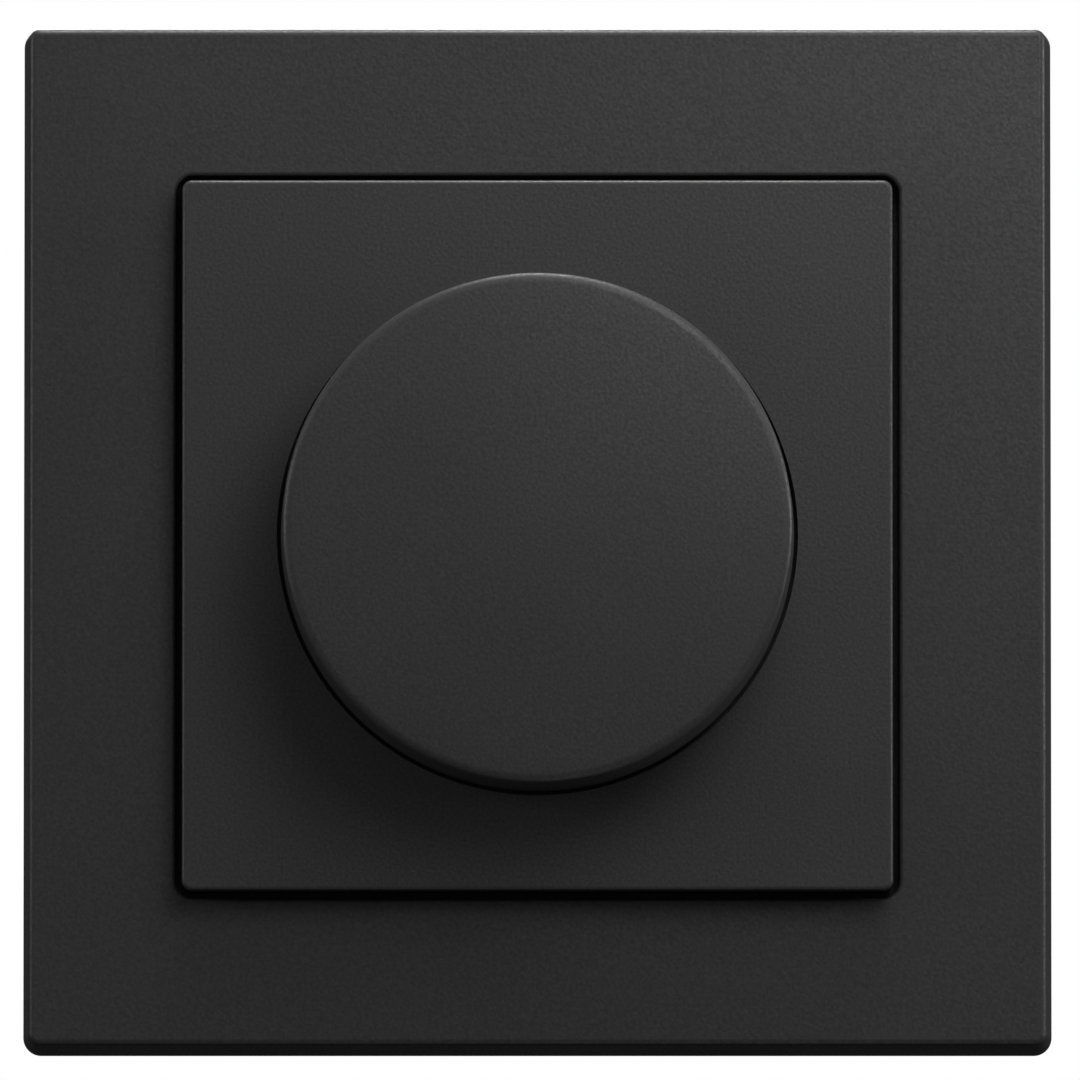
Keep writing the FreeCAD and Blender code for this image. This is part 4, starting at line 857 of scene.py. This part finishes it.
@dataclass
class EdgedNut:
    """Nut with flat sides, chamfered corners and a threaded bore.

    Attributes:
        sides: Number of flats.
        across: Width across the flats.
        bore: Radius of the bore at the thread's crests.
        pitch: Rise of the thread.
        low: Level of the lower face.
        high: Level of the upper face.
        first: Angle of the middle of the first flat.
    """

    sides: int
    across: float
    bore: float
    pitch: float
    low: float
    high: float
    first: float = 0.0

    def add_to(self, shell: Shell, centre: Triple) -> None:
        """Add the nut to a piece about an axis out of the wall.

        The outside at angle a has radius r = half width / cos(a from the middle of its flat). Each
        face falls away at 30 degrees outside a circle a little smaller than the flats, which leaves
        the curved chamfer lines of a turned nut. The bore is a thread seen from inside.

        Args:
            shell: Piece to add to.
            centre: Point that the nut's axis passes through.
        """
        angles = ring_angles(self.sides * 16) + self.first
        share = FULL_TURN / self.sides
        from_flat = np.mod(angles - self.first + share / 2, share) - share / 2
        outside = self.across / 2 / np.cos(from_flat)
        circle = 0.97 * self.across / 2
        fall = (outside - circle) * math.tan(math.radians(30))
        depth = NUT_GROOVE * self.pitch
        lead = 0.4 * self.pitch
        outer = [around(angles, radius, level) for radius, level in (
            (self.bore + lead, self.low), (circle, self.low), (outside, self.low + fall),
            (outside, self.high - fall), (circle, self.high), (self.bore + lead, self.high))]
        bore = threaded_rows(self.bore + depth, depth, self.pitch, self.low - lead,
                             self.high + lead, angles)
        level = bore[..., 2]
        inside = (level[:, 0] > self.low + lead) & (level[:, 0] < self.high - lead)
        rows = outer + list(bore[inside][::-1])
        shell.add_grid(np.stack(rows) + np.array(centre, float), close_rows=True)


@dataclass
class Covers(Group):
    """Frame, centre plate and knob: the pieces that show on the wall.

    Attributes:
        depth: Height of the knob.
        draft: Slope of the knob's side in degrees.
        wall: Thickness of the knob's side.
        face: Thickness of the knob's front.
        crown: Height of the front's middle over its rim.
        edge_across: Width of the rounded rim across the front.
        edge_along: Height of the rounded rim along the side.
        hub_radius: Outer radius of the hub.
        hub_bore: Radius of the hub's bore.
        hub_flat: Height of the bore's flat over the middle.
        hub_back: Height of the hub's end over the knob's back.
        slot_width: Width of the slot that lets the hub spring open.
        slot_depth: Depth of that slot.
        rib: Thickness of the ribs.
        ribs: Number of ribs.
        rib_back: Height of the ribs' ends over the hub's end.
        rib_root: Depth by which the ribs run into the hub.
        sink: Depth by which hub and ribs run into the front's wall.
        pole: Radius of the small flat that closes the middle of the front.
    """

    depth: float = 12.6
    draft: float = 1.1
    wall: float = 1.6
    face: float = 1.8
    crown: float = 0.6
    edge_across: float = 0.75
    edge_along: float = 0.45
    hub_radius: float = 4.8
    hub_bore: float = 3.05
    hub_flat: float = 1.55
    hub_back: float = 2.9
    slot_width: float = 1.0
    slot_depth: float = 5.0
    rib: float = 1.0
    ribs: int = 6
    rib_back: float = 3.3
    rib_root: float = 0.3
    sink: float = 0.1
    pole: float = 0.3

    def knob_profile(self, outer: float, front: float) -> Profile:
        """Work out the knob's section, from the middle of its ceiling to the middle of its front.

        The front lies crown * (r / radius)^2 under its middle. The rim is a quarter of an ellipse,
        wide across the front and short along the side, laid on the front's slope.

        Args:
            outer: Radius at the open end.
            front: Level of the front's middle.

        Returns:
            Points as (radius, level).
        """
        back = front - self.depth
        radius = outer - self.depth * math.tan(math.radians(self.draft))
        shoulder = radius - self.edge_across
        across = np.linspace(self.pole, shoulder, 16)
        level = front - self.crown * (across / radius) ** 2
        turn = np.linspace(0, math.pi / 2, 13)[1:]
        reach = self.edge_across * np.sin(turn)
        slope = 2 * self.crown * shoulder / radius ** 2
        drop = level[-1] - slope * reach - self.edge_along * (1 - np.cos(turn))
        bevel, root = 0.1, 0.4
        side = np.linspace((radius, drop[-1]), (outer, back + bevel), 5)[1:]
        ceiling, inner, skirt = front - self.face, radius - self.wall, outer - self.wall
        inside = [(outer - bevel, back), (skirt + bevel, back), (skirt, back + bevel),
                  (inner, ceiling - root), (inner - 0.3 * root, ceiling - 0.3 * root),
                  (inner - root, ceiling), (self.pole, ceiling)]
        points = [*zip(across, level), *zip(shoulder + reach, drop), *map(tuple, side), *inside]
        return points[::-1]

    def build_knob(self) -> None:
        """Build the knob: crowned cup, slotted hub with a flatted bore, and ribs."""
        low, high = extent("knob")
        outer = (high[0] - low[0]) / 2
        front = high[2]
        back, ceiling = front - self.depth + self.hub_back, front - self.face
        shell = Shell("crowned_knob")
        shell.add_turned(self.knob_profile(outer, front), Axis.OUT, ORIGIN, 192)
        angles = ring_angles(64)
        flat = np.full(len(angles), self.hub_bore)
        upper = np.sin(angles) > 0.1
        flat[upper] = np.minimum(self.hub_bore, self.hub_flat / np.sin(angles[upper]))
        step = back + self.slot_depth
        root = ceiling + self.sink
        rings = [(self.hub_radius, step), (self.hub_radius, root), (flat, root), (flat, step)]
        shell.add_grid(np.stack([around(angles, *spot) for spot in rings]), close_rows=True)
        half = self.slot_width / 2
        ends = [math.acos(half / radius) for radius in (self.hub_radius, self.hub_bore)]
        rise = math.asin(self.hub_flat / self.hub_bore)
        out = np.linspace(-ends[0], ends[0], 24)
        bore = np.linspace(rise, -ends[1], 16)
        jaw = np.vstack([around(out, self.hub_radius, 0)[:, :2], [[half, self.hub_flat]],
                         around(bore, self.hub_bore, 0)[:, :2]])
        shell.add_prism(jaw, back, step)
        shell.add_prism((jaw * np.array([-1, 1]))[::-1], back, step)
        for angle in ring_angles(self.ribs):
            along = np.array([math.cos(angle), math.sin(angle)])
            across = np.array([-along[1], along[0]]) * self.rib / 2
            near, far = along * (self.hub_radius - self.rib_root), along * (outer - self.wall)
            bar = np.array([near - across, far - across, far + across, near + across])
            shell.add_prism(bar, back + self.rib_back, root)
        # The knob wears the lighter anthracite copy, whose extra lightness is painted light.
        piece = shell.build("knob_and_shaft", [self.workshop.material(ANTHRACITE_PAINTED_LIGHTER)], "knob")

    def build(self) -> None:
        """Build the knob, dress the frame in soft-touch anthracite and the plate in a lighter copy:
        painted light.
        """
        self.build_knob()
        self.workshop.dress(ANTHRACITE, "cover_frame")
        self.workshop.dress(ANTHRACITE_PAINTED_LIGHTER, "cover_plate")


@dataclass
class Drive(Group):
    """Shaft, bush and nuts.

    Attributes:
        pitch: Rise of the bush thread.
        bush_radius: Outer radius of the bush thread.
        bore: Radius of the bush's bore.
        lead_in: Size of the chamfers at both ends of the bore.
        corner: Amount by which the flange's corners are pulled out.
    """

    pitch: float = 0.75
    bush_radius: float = 5.0
    bore: float = 3.05
    lead_in: float = 0.2
    corner: float = 0.5

    def build_bush(self) -> None:
        """Build the bush: square flange, threaded neck and plain bore.

        The flange's radius at angle a is (half side - corner) / max(|cos a|, |sin a|) + corner.
        """
        low, high = extent("bush")
        angles = ring_angles(96)
        back, front = low[2], high[2]
        groove = BOLT_GROOVE * self.pitch
        neck = threaded_rows(self.bush_radius, groove, self.pitch, 0.0, front, angles)
        widest = np.maximum(np.abs(np.cos(angles)), np.abs(np.sin(angles)))
        square = (high[0] - self.corner) / widest + self.corner
        mouth, bevelled = self.bore + self.lead_in, 0.985 * square
        flange = [(mouth, back), (bevelled, back), (square, back + BROKEN_EDGE),
                  (square, -BROKEN_EDGE), (bevelled, 0.0)]
        inside = [(mouth, front), (self.bore, front - self.lead_in),
                  (self.bore, back + self.lead_in)]
        rows = [*(around(angles, *spot) for spot in flange), *neck,
                *(around(angles, *spot) for spot in inside)]
        shell = Shell("threaded_bush")
        shell.add_grid(np.stack(rows), close_rows=True)
        shell.build("root", [self.workshop.material(NICKEL)], "bush")

    def build_nut(self, node: str) -> None:
        """Build one hexagon nut of the bush."""
        low, high = extent(node)
        bore = self.bush_radius + THREAD_PLAY - NUT_GROOVE * self.pitch
        nut = EdgedNut(6, high[1] - low[1], bore, self.pitch, low[2], high[2], math.pi / 2)
        shell = Shell(node + "_turned")
        nut.add_to(shell, ORIGIN)
        shell.build("root", [self.workshop.material(NICKEL)], node)

    def build(self) -> None:
        """Build and dress every piece of the drive."""
        self.build_bush()
        for node in ("plate_nut", "bush_nut"):
            self.build_nut(node)
        self.workshop.dress(BRASS, "shaft")
        self.workshop.dress(SPRING_STEEL, "hub_ring")


@dataclass
class Insert(Group):
    """Support ring, housing and the housing's screws.

    Attributes:
        pitch: Rise of the screw thread.
        screw_radius: Outer radius of the thread.
        head_radius: Radius of the head.
    """

    pitch: float = 0.8
    screw_radius: float = 1.1
    head_radius: float = 2.3

    def build_screws(self) -> None:
        """Build the two screws of the housing, their slots turned as a hand leaves them."""
        low, high = extent("housing_screws")
        column = high[0] - self.head_radius
        screw = SlottedScrew(self.screw_radius, self.pitch, low[2], RING_FRONT, self.head_radius,
                             high[2] - RING_FRONT)
        shell = Shell("housing_screws_threaded")
        for side, turn in ((1, 0.5), (-1, 2.2)):
            screw.add_to(shell, Axis.OUT, (side * column, 0.0, 0.0), turn=turn)
        shell.build("root", [self.workshop.material(ZINC_PART)], "housing_screws")

    def build(self) -> None:
        """Build and dress the insert."""
        self.workshop.dress(ZINC_SHEET, "support_ring")
        self.workshop.dress(CAN_GREY, "housing")
        self.build_screws()


@dataclass
class Claws(Group):
    """Claws with their pins, screws and nuts, once above and once below.

    Attributes:
        pitch: Rise of the claw screws.
        screw_radius: Outer radius of their thread.
        head_radius: Radius of their heads.
    """

    pitch: float = 0.5
    screw_radius: float = 1.5
    head_radius: float = 2.5

    def build_side(self, side: str) -> None:
        """Build the screw and nut of one claw and dress the claw."""
        low, high = extent(f"claw_screw_{side}")
        row = middle(low, high, 1)
        shell = Shell(f"claw_screw_{side}_threaded")
        screw = SlottedScrew(self.screw_radius, self.pitch, low[2], RING_FRONT, self.head_radius,
                             high[2] - RING_FRONT)
        screw.add_to(shell, Axis.OUT, (0.0, row, 0.0), turn=0.35 if side == "top" else 1.9)
        steel = self.workshop.material(CHROMATED)
        shell.build(f"claw_screw_{side}_body", [steel], f"claw_screw_{side}")
        low, high = extent(f"claw_nut_{side}")
        shell = Shell(f"claw_nut_{side}_turned")
        bore = self.screw_radius + THREAD_PLAY - NUT_GROOVE * self.pitch
        nut = EdgedNut(4, high[0] - low[0], bore, self.pitch, low[2], high[2])
        nut.add_to(shell, (0.0, row, 0.0))
        shell.build(f"claw_nut_{side}_body", [steel], f"claw_nut_{side}")
        self.workshop.dress(CHROMATED, f"claw_{side}")

    def build(self) -> None:
        """Build both claws and dress their pins."""
        for side in ("top", "bottom"):
            self.build_side(side)
        self.workshop.dress(ZINC_PART, "claw_pins")


@dataclass
class SwitchGear(Group):
    """Rotary resistor and the push switch behind it.

    Attributes:
        wire: Diameter of the spring wire.
        turns: Open turns of the spring.
        travel: Travel of the knob in millimetres; not used.
    """

    wire: float = 0.3
    turns: float = 3.0
    travel: float = 1.5

    def build_spring(self) -> None:
        """Build the return spring.

        The centreline is a helix. It rises by one wire in the first and in the last turn, so that
        those lie closed on their seats, and evenly through the open turns between them.
        """
        low, high = extent("return_spring")
        radius = (high[0] - low[0] - self.wire) / 2
        turns, steps = self.turns + 2, 40
        share = np.linspace(0, 1, int(turns * steps) + 1)
        edge = 1 / turns
        rise = np.clip((share - edge) / (1 - 2 * edge), 0, 1)
        height = (high[2] - low[2] - 3 * self.wire) * rise
        first, last = np.clip(share / edge, 0, 1), np.clip((share - 1 + edge) / edge, 0, 1)
        height += self.wire * (first + last)
        angle = share * turns * FULL_TURN
        line = around(angle, radius, low[2] + self.wire / 2 + height)
        shell = Shell("return_spring_coil")
        shell.add_tube(line, self.wire / 2, 8)
        spring = shell.build("root", [self.workshop.material(SPRING_STEEL)], "return_spring")
        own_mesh(spring)

    def build(self) -> None:
        """Build the spring and dress the rest."""
        self.build_spring()
        self.workshop.dress(CASE_DARK, "pot_case", "switch_case")
        self.workshop.dress(CARRIER_WHITE, "wiper_rotor", "switch_slider")
        self.workshop.dress(BRASS, "wiper_contact", "contact_bridge", "switch_contacts")
        self.workshop.dress(TRACK_CARBON, "track_disc")


@dataclass
class Electronics(Group):
    """Circuit board and everything that stands on it.

    Attributes:
        winding_turns: Turns of the choke.
        winding_sector: Part of the core that the turns cover, in degrees.
        winding_wire: Diameter of the enamelled wire.
        core_wall: Width of the core's section.
        core_edge: Rounding of the core's edges.
        resistor: Radius of a resistor's body.
        resistor_half: Half of its length.
        lead: Radius of its leads.
        track_width: Width of the board's tracks.
        tracks: Paths of the tracks on the board's face, right and up.
        front_joints: Places of the solder joints on that face.
    """

    winding_turns: int = 30
    winding_sector: float = 318.0
    winding_wire: float = 0.62
    core_wall: float = 5.0
    core_edge: float = 0.4
    resistor: float = 1.15
    resistor_half: float = 3.25
    lead: float = 0.3
    track_width: float = 0.9
    tracks: tuple[tuple[tuple[float, float], ...], ...] = (
        ((10.6, -2.7), (10.6, 1.0), (12.4, 3.0), (12.4, 11.2)),
        ((13.1, -2.7), (13.1, 0.0), (15.6, 2.5), (15.6, 11.2)),
        ((15.7, -2.7), (15.7, -0.8), (17.8, 1.3), (17.8, 12.6), (16.0, 14.4), (14.0, 14.4)),
        ((10.6, -9.7), (10.6, -12.8)),
        ((13.1, -9.7), (13.1, -11.0), (15.7, -12.8)),
        ((18.2, -9.7), (18.2, -11.0)),
        ((-20.0, -3.0), (-20.0, -0.6), (-18.0, 1.4), (-15.8, 1.4)),
        ((-17.0, -3.0), (-17.0, -1.4), (-13.3, -0.2)),
        ((-14.0, -3.0), (-12.4, -2.2)),
        ((-14.0, -10.7), (-14.0, -12.0), (-16.0, -13.3)),
        ((-17.0, -10.7), (-20.0, -10.7)),
    )
    front_joints: tuple[tuple[float, float], ...] = (
        (-16.0, -13.3), (-12.4, -13.3), (10.7, -12.8), (15.7, -12.8),
    )

    def build_resistors(self) -> None:
        """Build the three resistors: thicker ends, colour bands and bent leads."""
        low, high = extent("resistors")
        radius, half = self.resistor, self.resistor_half
        level = high[2] - radius
        row = middle(low, high, 1)
        waist = radius - 0.13
        end = [(0.86 * radius, half), (0.97 * radius, half - 0.12), (radius, half - 0.35),
               (radius, 2.65), (radius, 2.2), (radius, 1.95), (waist, 1.6)]
        belt = [(waist, place) for place in (-1.25, -0.8, -0.35, 0.1, 0.55, 1.0)]
        profile = [(reach, -place) for reach, place in end] + belt + end[::-1]
        curve = 0.5
        shell = Shell("banded_resistors")
        for number, (first, second, third) in enumerate(((1, 2, 1), (2, 2, 1), (1, 1, 2))):
            column = low[0] + radius + number * (high[0] - low[0] - 2 * radius) / 2
            marks = [0] * (len(profile) - 1)
            for step, mark in ((3, first), (7, second), (9, third), (15, 3)):
                marks[step] = mark
            shell.add_turned(profile, Axis.UP, (column, row, level), 20, marks)
            for way in (1, -1):
                bend = np.linspace(0, math.pi / 2, 6)
                reach = half + 0.1 + curve * np.sin(bend)
                fall = level - curve * (1 - np.cos(bend))
                path = np.vstack([[half - 0.1, level], np.column_stack([reach, fall]),
                                  [reach[-1], low[2]]])
                line = np.column_stack([np.full(len(path), column), row + way * path[:, 0],
                                        path[:, 1]])
                shell.add_tube(line, self.lead, 10, mark=4, up=(1.0, 0.0, 0.0))
        finishes = [self.workshop.material(finish)
                    for finish in (RESISTOR_BEIGE, BAND_BROWN, BAND_RED, BAND_GOLD, SOLDER)]
        shell.build("root", finishes, "resistors")

    def build_fuse_wire(self) -> None:
        """Build the thin wire that runs slanting through the fuse's tube."""
        low, high = extent("fuse_tube")
        row, level = middle(low, high, 1), middle(low, high, 2)
        slant = 0.9
        line = np.linspace([low[0] + 0.1, row, level - slant],
                           [high[0] - 0.1, row, level + slant], 14)
        shell = Shell("fuse_wire")
        shell.add_tube(line, 0.09, 8, up=(0.0, 1.0, 0.0))
        shell.build("root", [self.workshop.material(SOLDER)])

    def build_board_work(self) -> None:
        """Build the tracks under the resist and the solder joints of the parts behind the board."""
        face = extent("circuit_board")[1][2]
        shell = Shell("board_tracks")
        for path in self.tracks:
            shell.add_strip(list(path), self.track_width, face - SUNK, face + 0.05)
        shell.build("root", [self.workshop.material(COPPER_TRACK)])
        shell = Shell("solder_joints")
        cone = [(0.95, -SUNK), (0.9, 0.07), (0.62, 0.22), (0.42, 0.5), (0.3, 0.75), (0.18, 0.8)]
        for x, y in self.front_joints:
            shell.add_turned(cone, Axis.OUT, (x, y, face), 14)
        shell.build("root", [self.workshop.material(SOLDER)])

    def build_core(self) -> None:
        """Build the choke's ring core, its four edges rounded as pressed ferrite is."""
        low, high = extent("choke_core")
        outer = (high[0] - low[0]) / 2
        inner = outer - self.core_wall
        corners = [(inner, low[2]), (outer, low[2]), (outer, high[2]), (inner, high[2])]
        profile = fillet_profile(corners, self.core_edge)
        points = around(ring_angles(96), profile[:, :1], profile[:, 1:])
        shell = Shell("choke_ring_core")
        shell.add_grid(points + np.array([0.0, middle(low, high, 1), 0.0]), close_rows=True)
        shell.build("root", [self.workshop.material(FERRITE)], "choke_core")

    def build_winding(self) -> None:
        """Build the choke's winding as one wire that runs round the core's section.

        The wire's section of the path is a rounded rectangle round the core, walked once each turn.
        The angle about the core's axis grows evenly along the whole wire.
        """
        low, high = extent("choke_core")
        gap = 0.02 + self.winding_wire / 2
        outer = (high[0] - low[0]) / 2 + gap
        inner = (high[0] - low[0]) / 2 - self.core_wall - gap
        corners = [(inner, high[2] + gap), (inner, low[2] - gap), (outer, low[2] - gap),
                   (outer, high[2] + gap)]
        loop = fillet_profile(corners, self.core_edge + gap, 4)
        closed = np.vstack([loop, loop[:1]])
        run = np.concatenate([[0], np.cumsum(np.linalg.norm(np.diff(closed, axis=0), axis=1))])
        steps = 26
        share = np.arange(self.winding_turns * steps + 1) / steps
        along = np.mod(share, 1.0) * run[-1]
        radius = np.interp(along, run, closed[:, 0])
        level = np.interp(along, run, closed[:, 1])
        sector = math.radians(self.winding_sector)
        angle = math.radians(90) + (FULL_TURN - sector) / 2 + share / self.winding_turns * sector
        line = around(angle, radius, level) + np.array([0.0, middle(low, high, 1), 0.0])
        ends = line[[0, -1]]
        ends[:, 2] = extent("circuit_board")[0][2] - SUNK
        line = np.vstack([ends[0], line, ends[1]])
        shell = Shell("choke_winding_wire")
        shell.add_tube(line, self.winding_wire / 2, 8, up=(0.31, 0.17, 0.93))
        shell.build("root", [self.workshop.material(COPPER_WIRE)], "choke_winding")

    def build(self) -> None:
        """Build and dress the electronics."""
        self.build_core()
        self.build_winding()
        self.build_resistors()
        self.build_fuse_wire()
        self.build_board_work()
        foot = extent("triac")[0][1]
        triac = TwoTone("triac_epoxy_and_tab", (0.02, 0.02, 0.021), (0.62, 0.61, 0.59), axis=2,
                        low=foot + 1.4, high=foot + 10.2)
        chip = TwoTone("chip_epoxy_and_pins", (0.018, 0.018, 0.019), (0.66, 0.66, 0.64), axis=2,
                       low=-9.4, high=-3.0)
        for node, finish in (
                ("circuit_board", BOARD), ("film_capacitor", FILM_YELLOW),
                ("electrolytic_capacitor", SLEEVE_BLUE), ("varistor", COATING_BLUE),
                ("triac", triac), ("triac_pad", INSULATOR), ("triac_rivet", ZINC_PART),
                ("control_chip", chip),
                ("fuse_tube", GLASS), ("fuse_caps", NICKEL), ("fuse_clips", BRASS),
                ("trimmer_base", CARRIER_WHITE), ("trimmer_rotor", BRASS)):
            self.workshop.dress(finish, node)


@dataclass
class Terminals(Group):
    """Four terminal cages and their grub screws.

    Attributes:
        pitch: Rise of the screw thread.
        length: Length of a screw.
        plain: Length of its plain end.
        slot: Width of its slot.
    """

    pitch: float = 0.5
    length: float = 2.6
    plain: float = 1.2
    slot: float = 0.6

    def build(self) -> None:
        """Build the screws and dress the cages."""
        low, high = extent("terminal_screws")
        radius = (high[2] - low[2]) / 2
        row, level = high[1] - radius, middle(low, high, 2)
        screw = SlottedScrew(radius, self.pitch, high[0] - self.length, high[0] - self.plain,
                             radius, self.plain, self.slot)
        shell = Shell("terminal_screws_threaded")
        for side in (1, -1):
            for above, turn in ((1, 0.8), (-1, 2.6)):
                screw.add_to(shell, Axis.RIGHT, (0.0, above * row, level), flip=side < 0, turn=turn)
        shell.build("root", [self.workshop.material(ZINC_PART)], "terminal_screws")
        self.workshop.dress(NICKEL, *(f"terminal_cage_{height}_{side}" for side in ("left", "right")
                                      for height in ("upper", "lower")))


@dataclass
class Studio:
    """Camera, lamps, background and floor.

    Attributes:
        distance: Distance of the camera from the wall plane in metres.
        elevation: Height of the view over the horizon in degrees, below it where negative.
        field_mm: Width of the wall plane that fills the picture.
        centre_mm: Point of the wall plane in the middle of the picture, right and up.
        sensor_mm: Width of the camera's sensor.
        floor_level: Height of the floor against the switch's middle in metres.
        floor_half: Half of the floor's side in metres.
        lamps: Name, place, diameter and power of each lamp.
    """

    distance: float = 1.5
    elevation: float = -2.9
    field_mm: float = 84.24
    centre_mm: tuple[float, float] = (0.2, 0.2)
    sensor_mm: float = 36.0
    floor_level: float = -1.15
    floor_half: float = 6.0
    lamps: tuple[tuple[str, Triple, float, float], ...] = (
        ("key", (0.071, -0.217, 0.102), 0.12, 0.128),
        ("high_key", (0.102, -0.177, 0.143), 0.15, 0.153),
        ("high", (0.068, -0.118, 0.376), 0.2, 0.26),
        ("top", (0.005, -0.0275, 0.399), 0.15, 1.65),
        ("right", (0.388, -0.068, 0.07), 0.2, 0.75),
        ("left", (-0.37, -0.135, 0.07), 0.2, 0.42),
        ("low", (0.052, -0.193, -0.346), 0.15, 0.09),
        ("back_key", (0.0, 0.6, 0.25), 0.3, 4.5),
    )

    def place_camera(self) -> None:
        """Put the camera straight in front, a little below the switch, with a long lens."""
        data = bpy.data.cameras.new("camera")
        data.sensor_width = self.sensor_mm
        data.lens = self.sensor_mm * self.distance / (self.field_mm * MM)
        camera = into_scene("camera", data)
        tilt = math.radians(self.elevation)
        right, up = (value * MM for value in self.centre_mm)
        camera.location = (right, -self.distance * math.cos(tilt),
                           up + self.distance * math.sin(tilt))
        camera.rotation_euler = (math.radians(90) - tilt, 0, 0)
        data.clip_end = 20
        bpy.context.scene.camera = camera

    def add_lamp(self, name: str, spot: Triple, size: float, watts: float) -> None:
        """Add a round soft lamp that faces the switch.

        Args:
            name: Name of the lamp.
            spot: Place of the lamp in metres.
            size: Diameter of its lit face in metres.
            watts: Power.
        """
        data = bpy.data.lights.new(name, "AREA")
        data.shape = "DISK"
        data.size = size
        data.energy = watts
        lamp = into_scene(name, data)
        lamp.location = spot
        lamp.rotation_euler = (-lamp.location).to_track_quat("-Z", "Y").to_euler()

    def make_world(self) -> None:
        """Make a white background and a dim ambient light that comes mostly from the upper front.

        Camera rays see white. The other rays see the ambient light; glossy and transmitted rays see
        the background too where they run backwards, apart from the cone right behind the switch.
        """
        world = bpy.data.worlds.new("studio")
        bpy.context.scene.world = world
        graph = Tree(world)
        graph.tree.nodes.clear()
        place = graph.node("ShaderNodeTexCoord", {}).outputs["Generated"]
        split = graph.node("ShaderNodeSeparateXYZ", {0: place}).outputs
        depth = split["Y"]
        path = graph.node("ShaderNodeLightPath", {}).outputs
        mirrored = graph.maths("MAXIMUM", path["Is Glossy Ray"], path["Is Transmission Ray"])
        behind = graph.maths("MULTIPLY", graph.ranged(depth, 0.0, 0.5, 0.1, 0.4),
                             graph.ranged(depth, 1.0, 0.0, 0.7, 0.85))
        behind = graph.maths("MULTIPLY", behind, graph.ranged(split["Z"], 0.0, 1.0, 0.0, 0.5))
        share = graph.maths("MAXIMUM", path["Is Camera Ray"],
                            graph.maths("MULTIPLY", mirrored, behind))
        lean = graph.maths("SUBTRACT", split["Z"], depth)
        strength = graph.ranged(lean, 0.0216, 0.2965, 0.43, 1.43)
        white = (1.0, 1.0, 1.0)
        lit, shown = (graph.node("ShaderNodeBackground", {"Color": white, "Strength": power})
                      for power in (strength, 1.0))
        mix = graph.node("ShaderNodeMixShader", {0: share, 1: lit.outputs[0],
                                                 2: shown.outputs[0]})
        graph.node("ShaderNodeOutputWorld", {"Surface": mix.outputs[0]})

    def lay_floor(self) -> None:
        """Lay a pale floor below the switch, at the height at which such a switch hangs."""
        half, level = self.floor_half, self.floor_level
        corners = [(-half, -half, level), (half, -half, level), (half, half, level),
                   (-half, half, level)]
        mesh = bpy.data.meshes.new("floor")
        mesh.from_pydata(corners, [], [(0, 1, 2, 3)])
        floor = into_scene("floor", mesh)
        graph = Graph("pale_floor")
        graph.use("Base Color", (0.82, 0.82, 0.82))
        graph.use("Roughness", 0.9)
        graph.use("Specular IOR Level", 0.1)
        glow = graph.node("ShaderNodeEmission", {}).outputs[0]
        path = graph.node("ShaderNodeLightPath", {}).outputs
        share = graph.maths("MULTIPLY", path["Is Camera Ray"], 0.85)
        mix = graph.node("ShaderNodeMixShader", {0: share, 1: graph.shader.outputs[0], 2: glow})
        graph.give(graph.tree.nodes["Material Output"].inputs[0], mix.outputs[0])
        mesh.materials.append(graph.material)
        floor.visible_diffuse = floor.visible_glossy = False

    def build(self) -> None:
        """Set up the studio."""
        self.place_camera()
        for lamp in self.lamps:
            self.add_lamp(*lamp)
        self.make_world()
        self.lay_floor()
        bpy.context.scene.view_settings.view_transform = "Standard"


def main() -> None:
    """Build every class in order."""
    logging.basicConfig(level=logging.INFO, format="%(name)s: %(message)s")
    workshop = Workshop()
    Studio().build()
    for group in (Covers, Drive, Insert, Claws, SwitchGear, Electronics, Terminals):
        group(workshop).build()


if __name__ == "__main__":
    main()
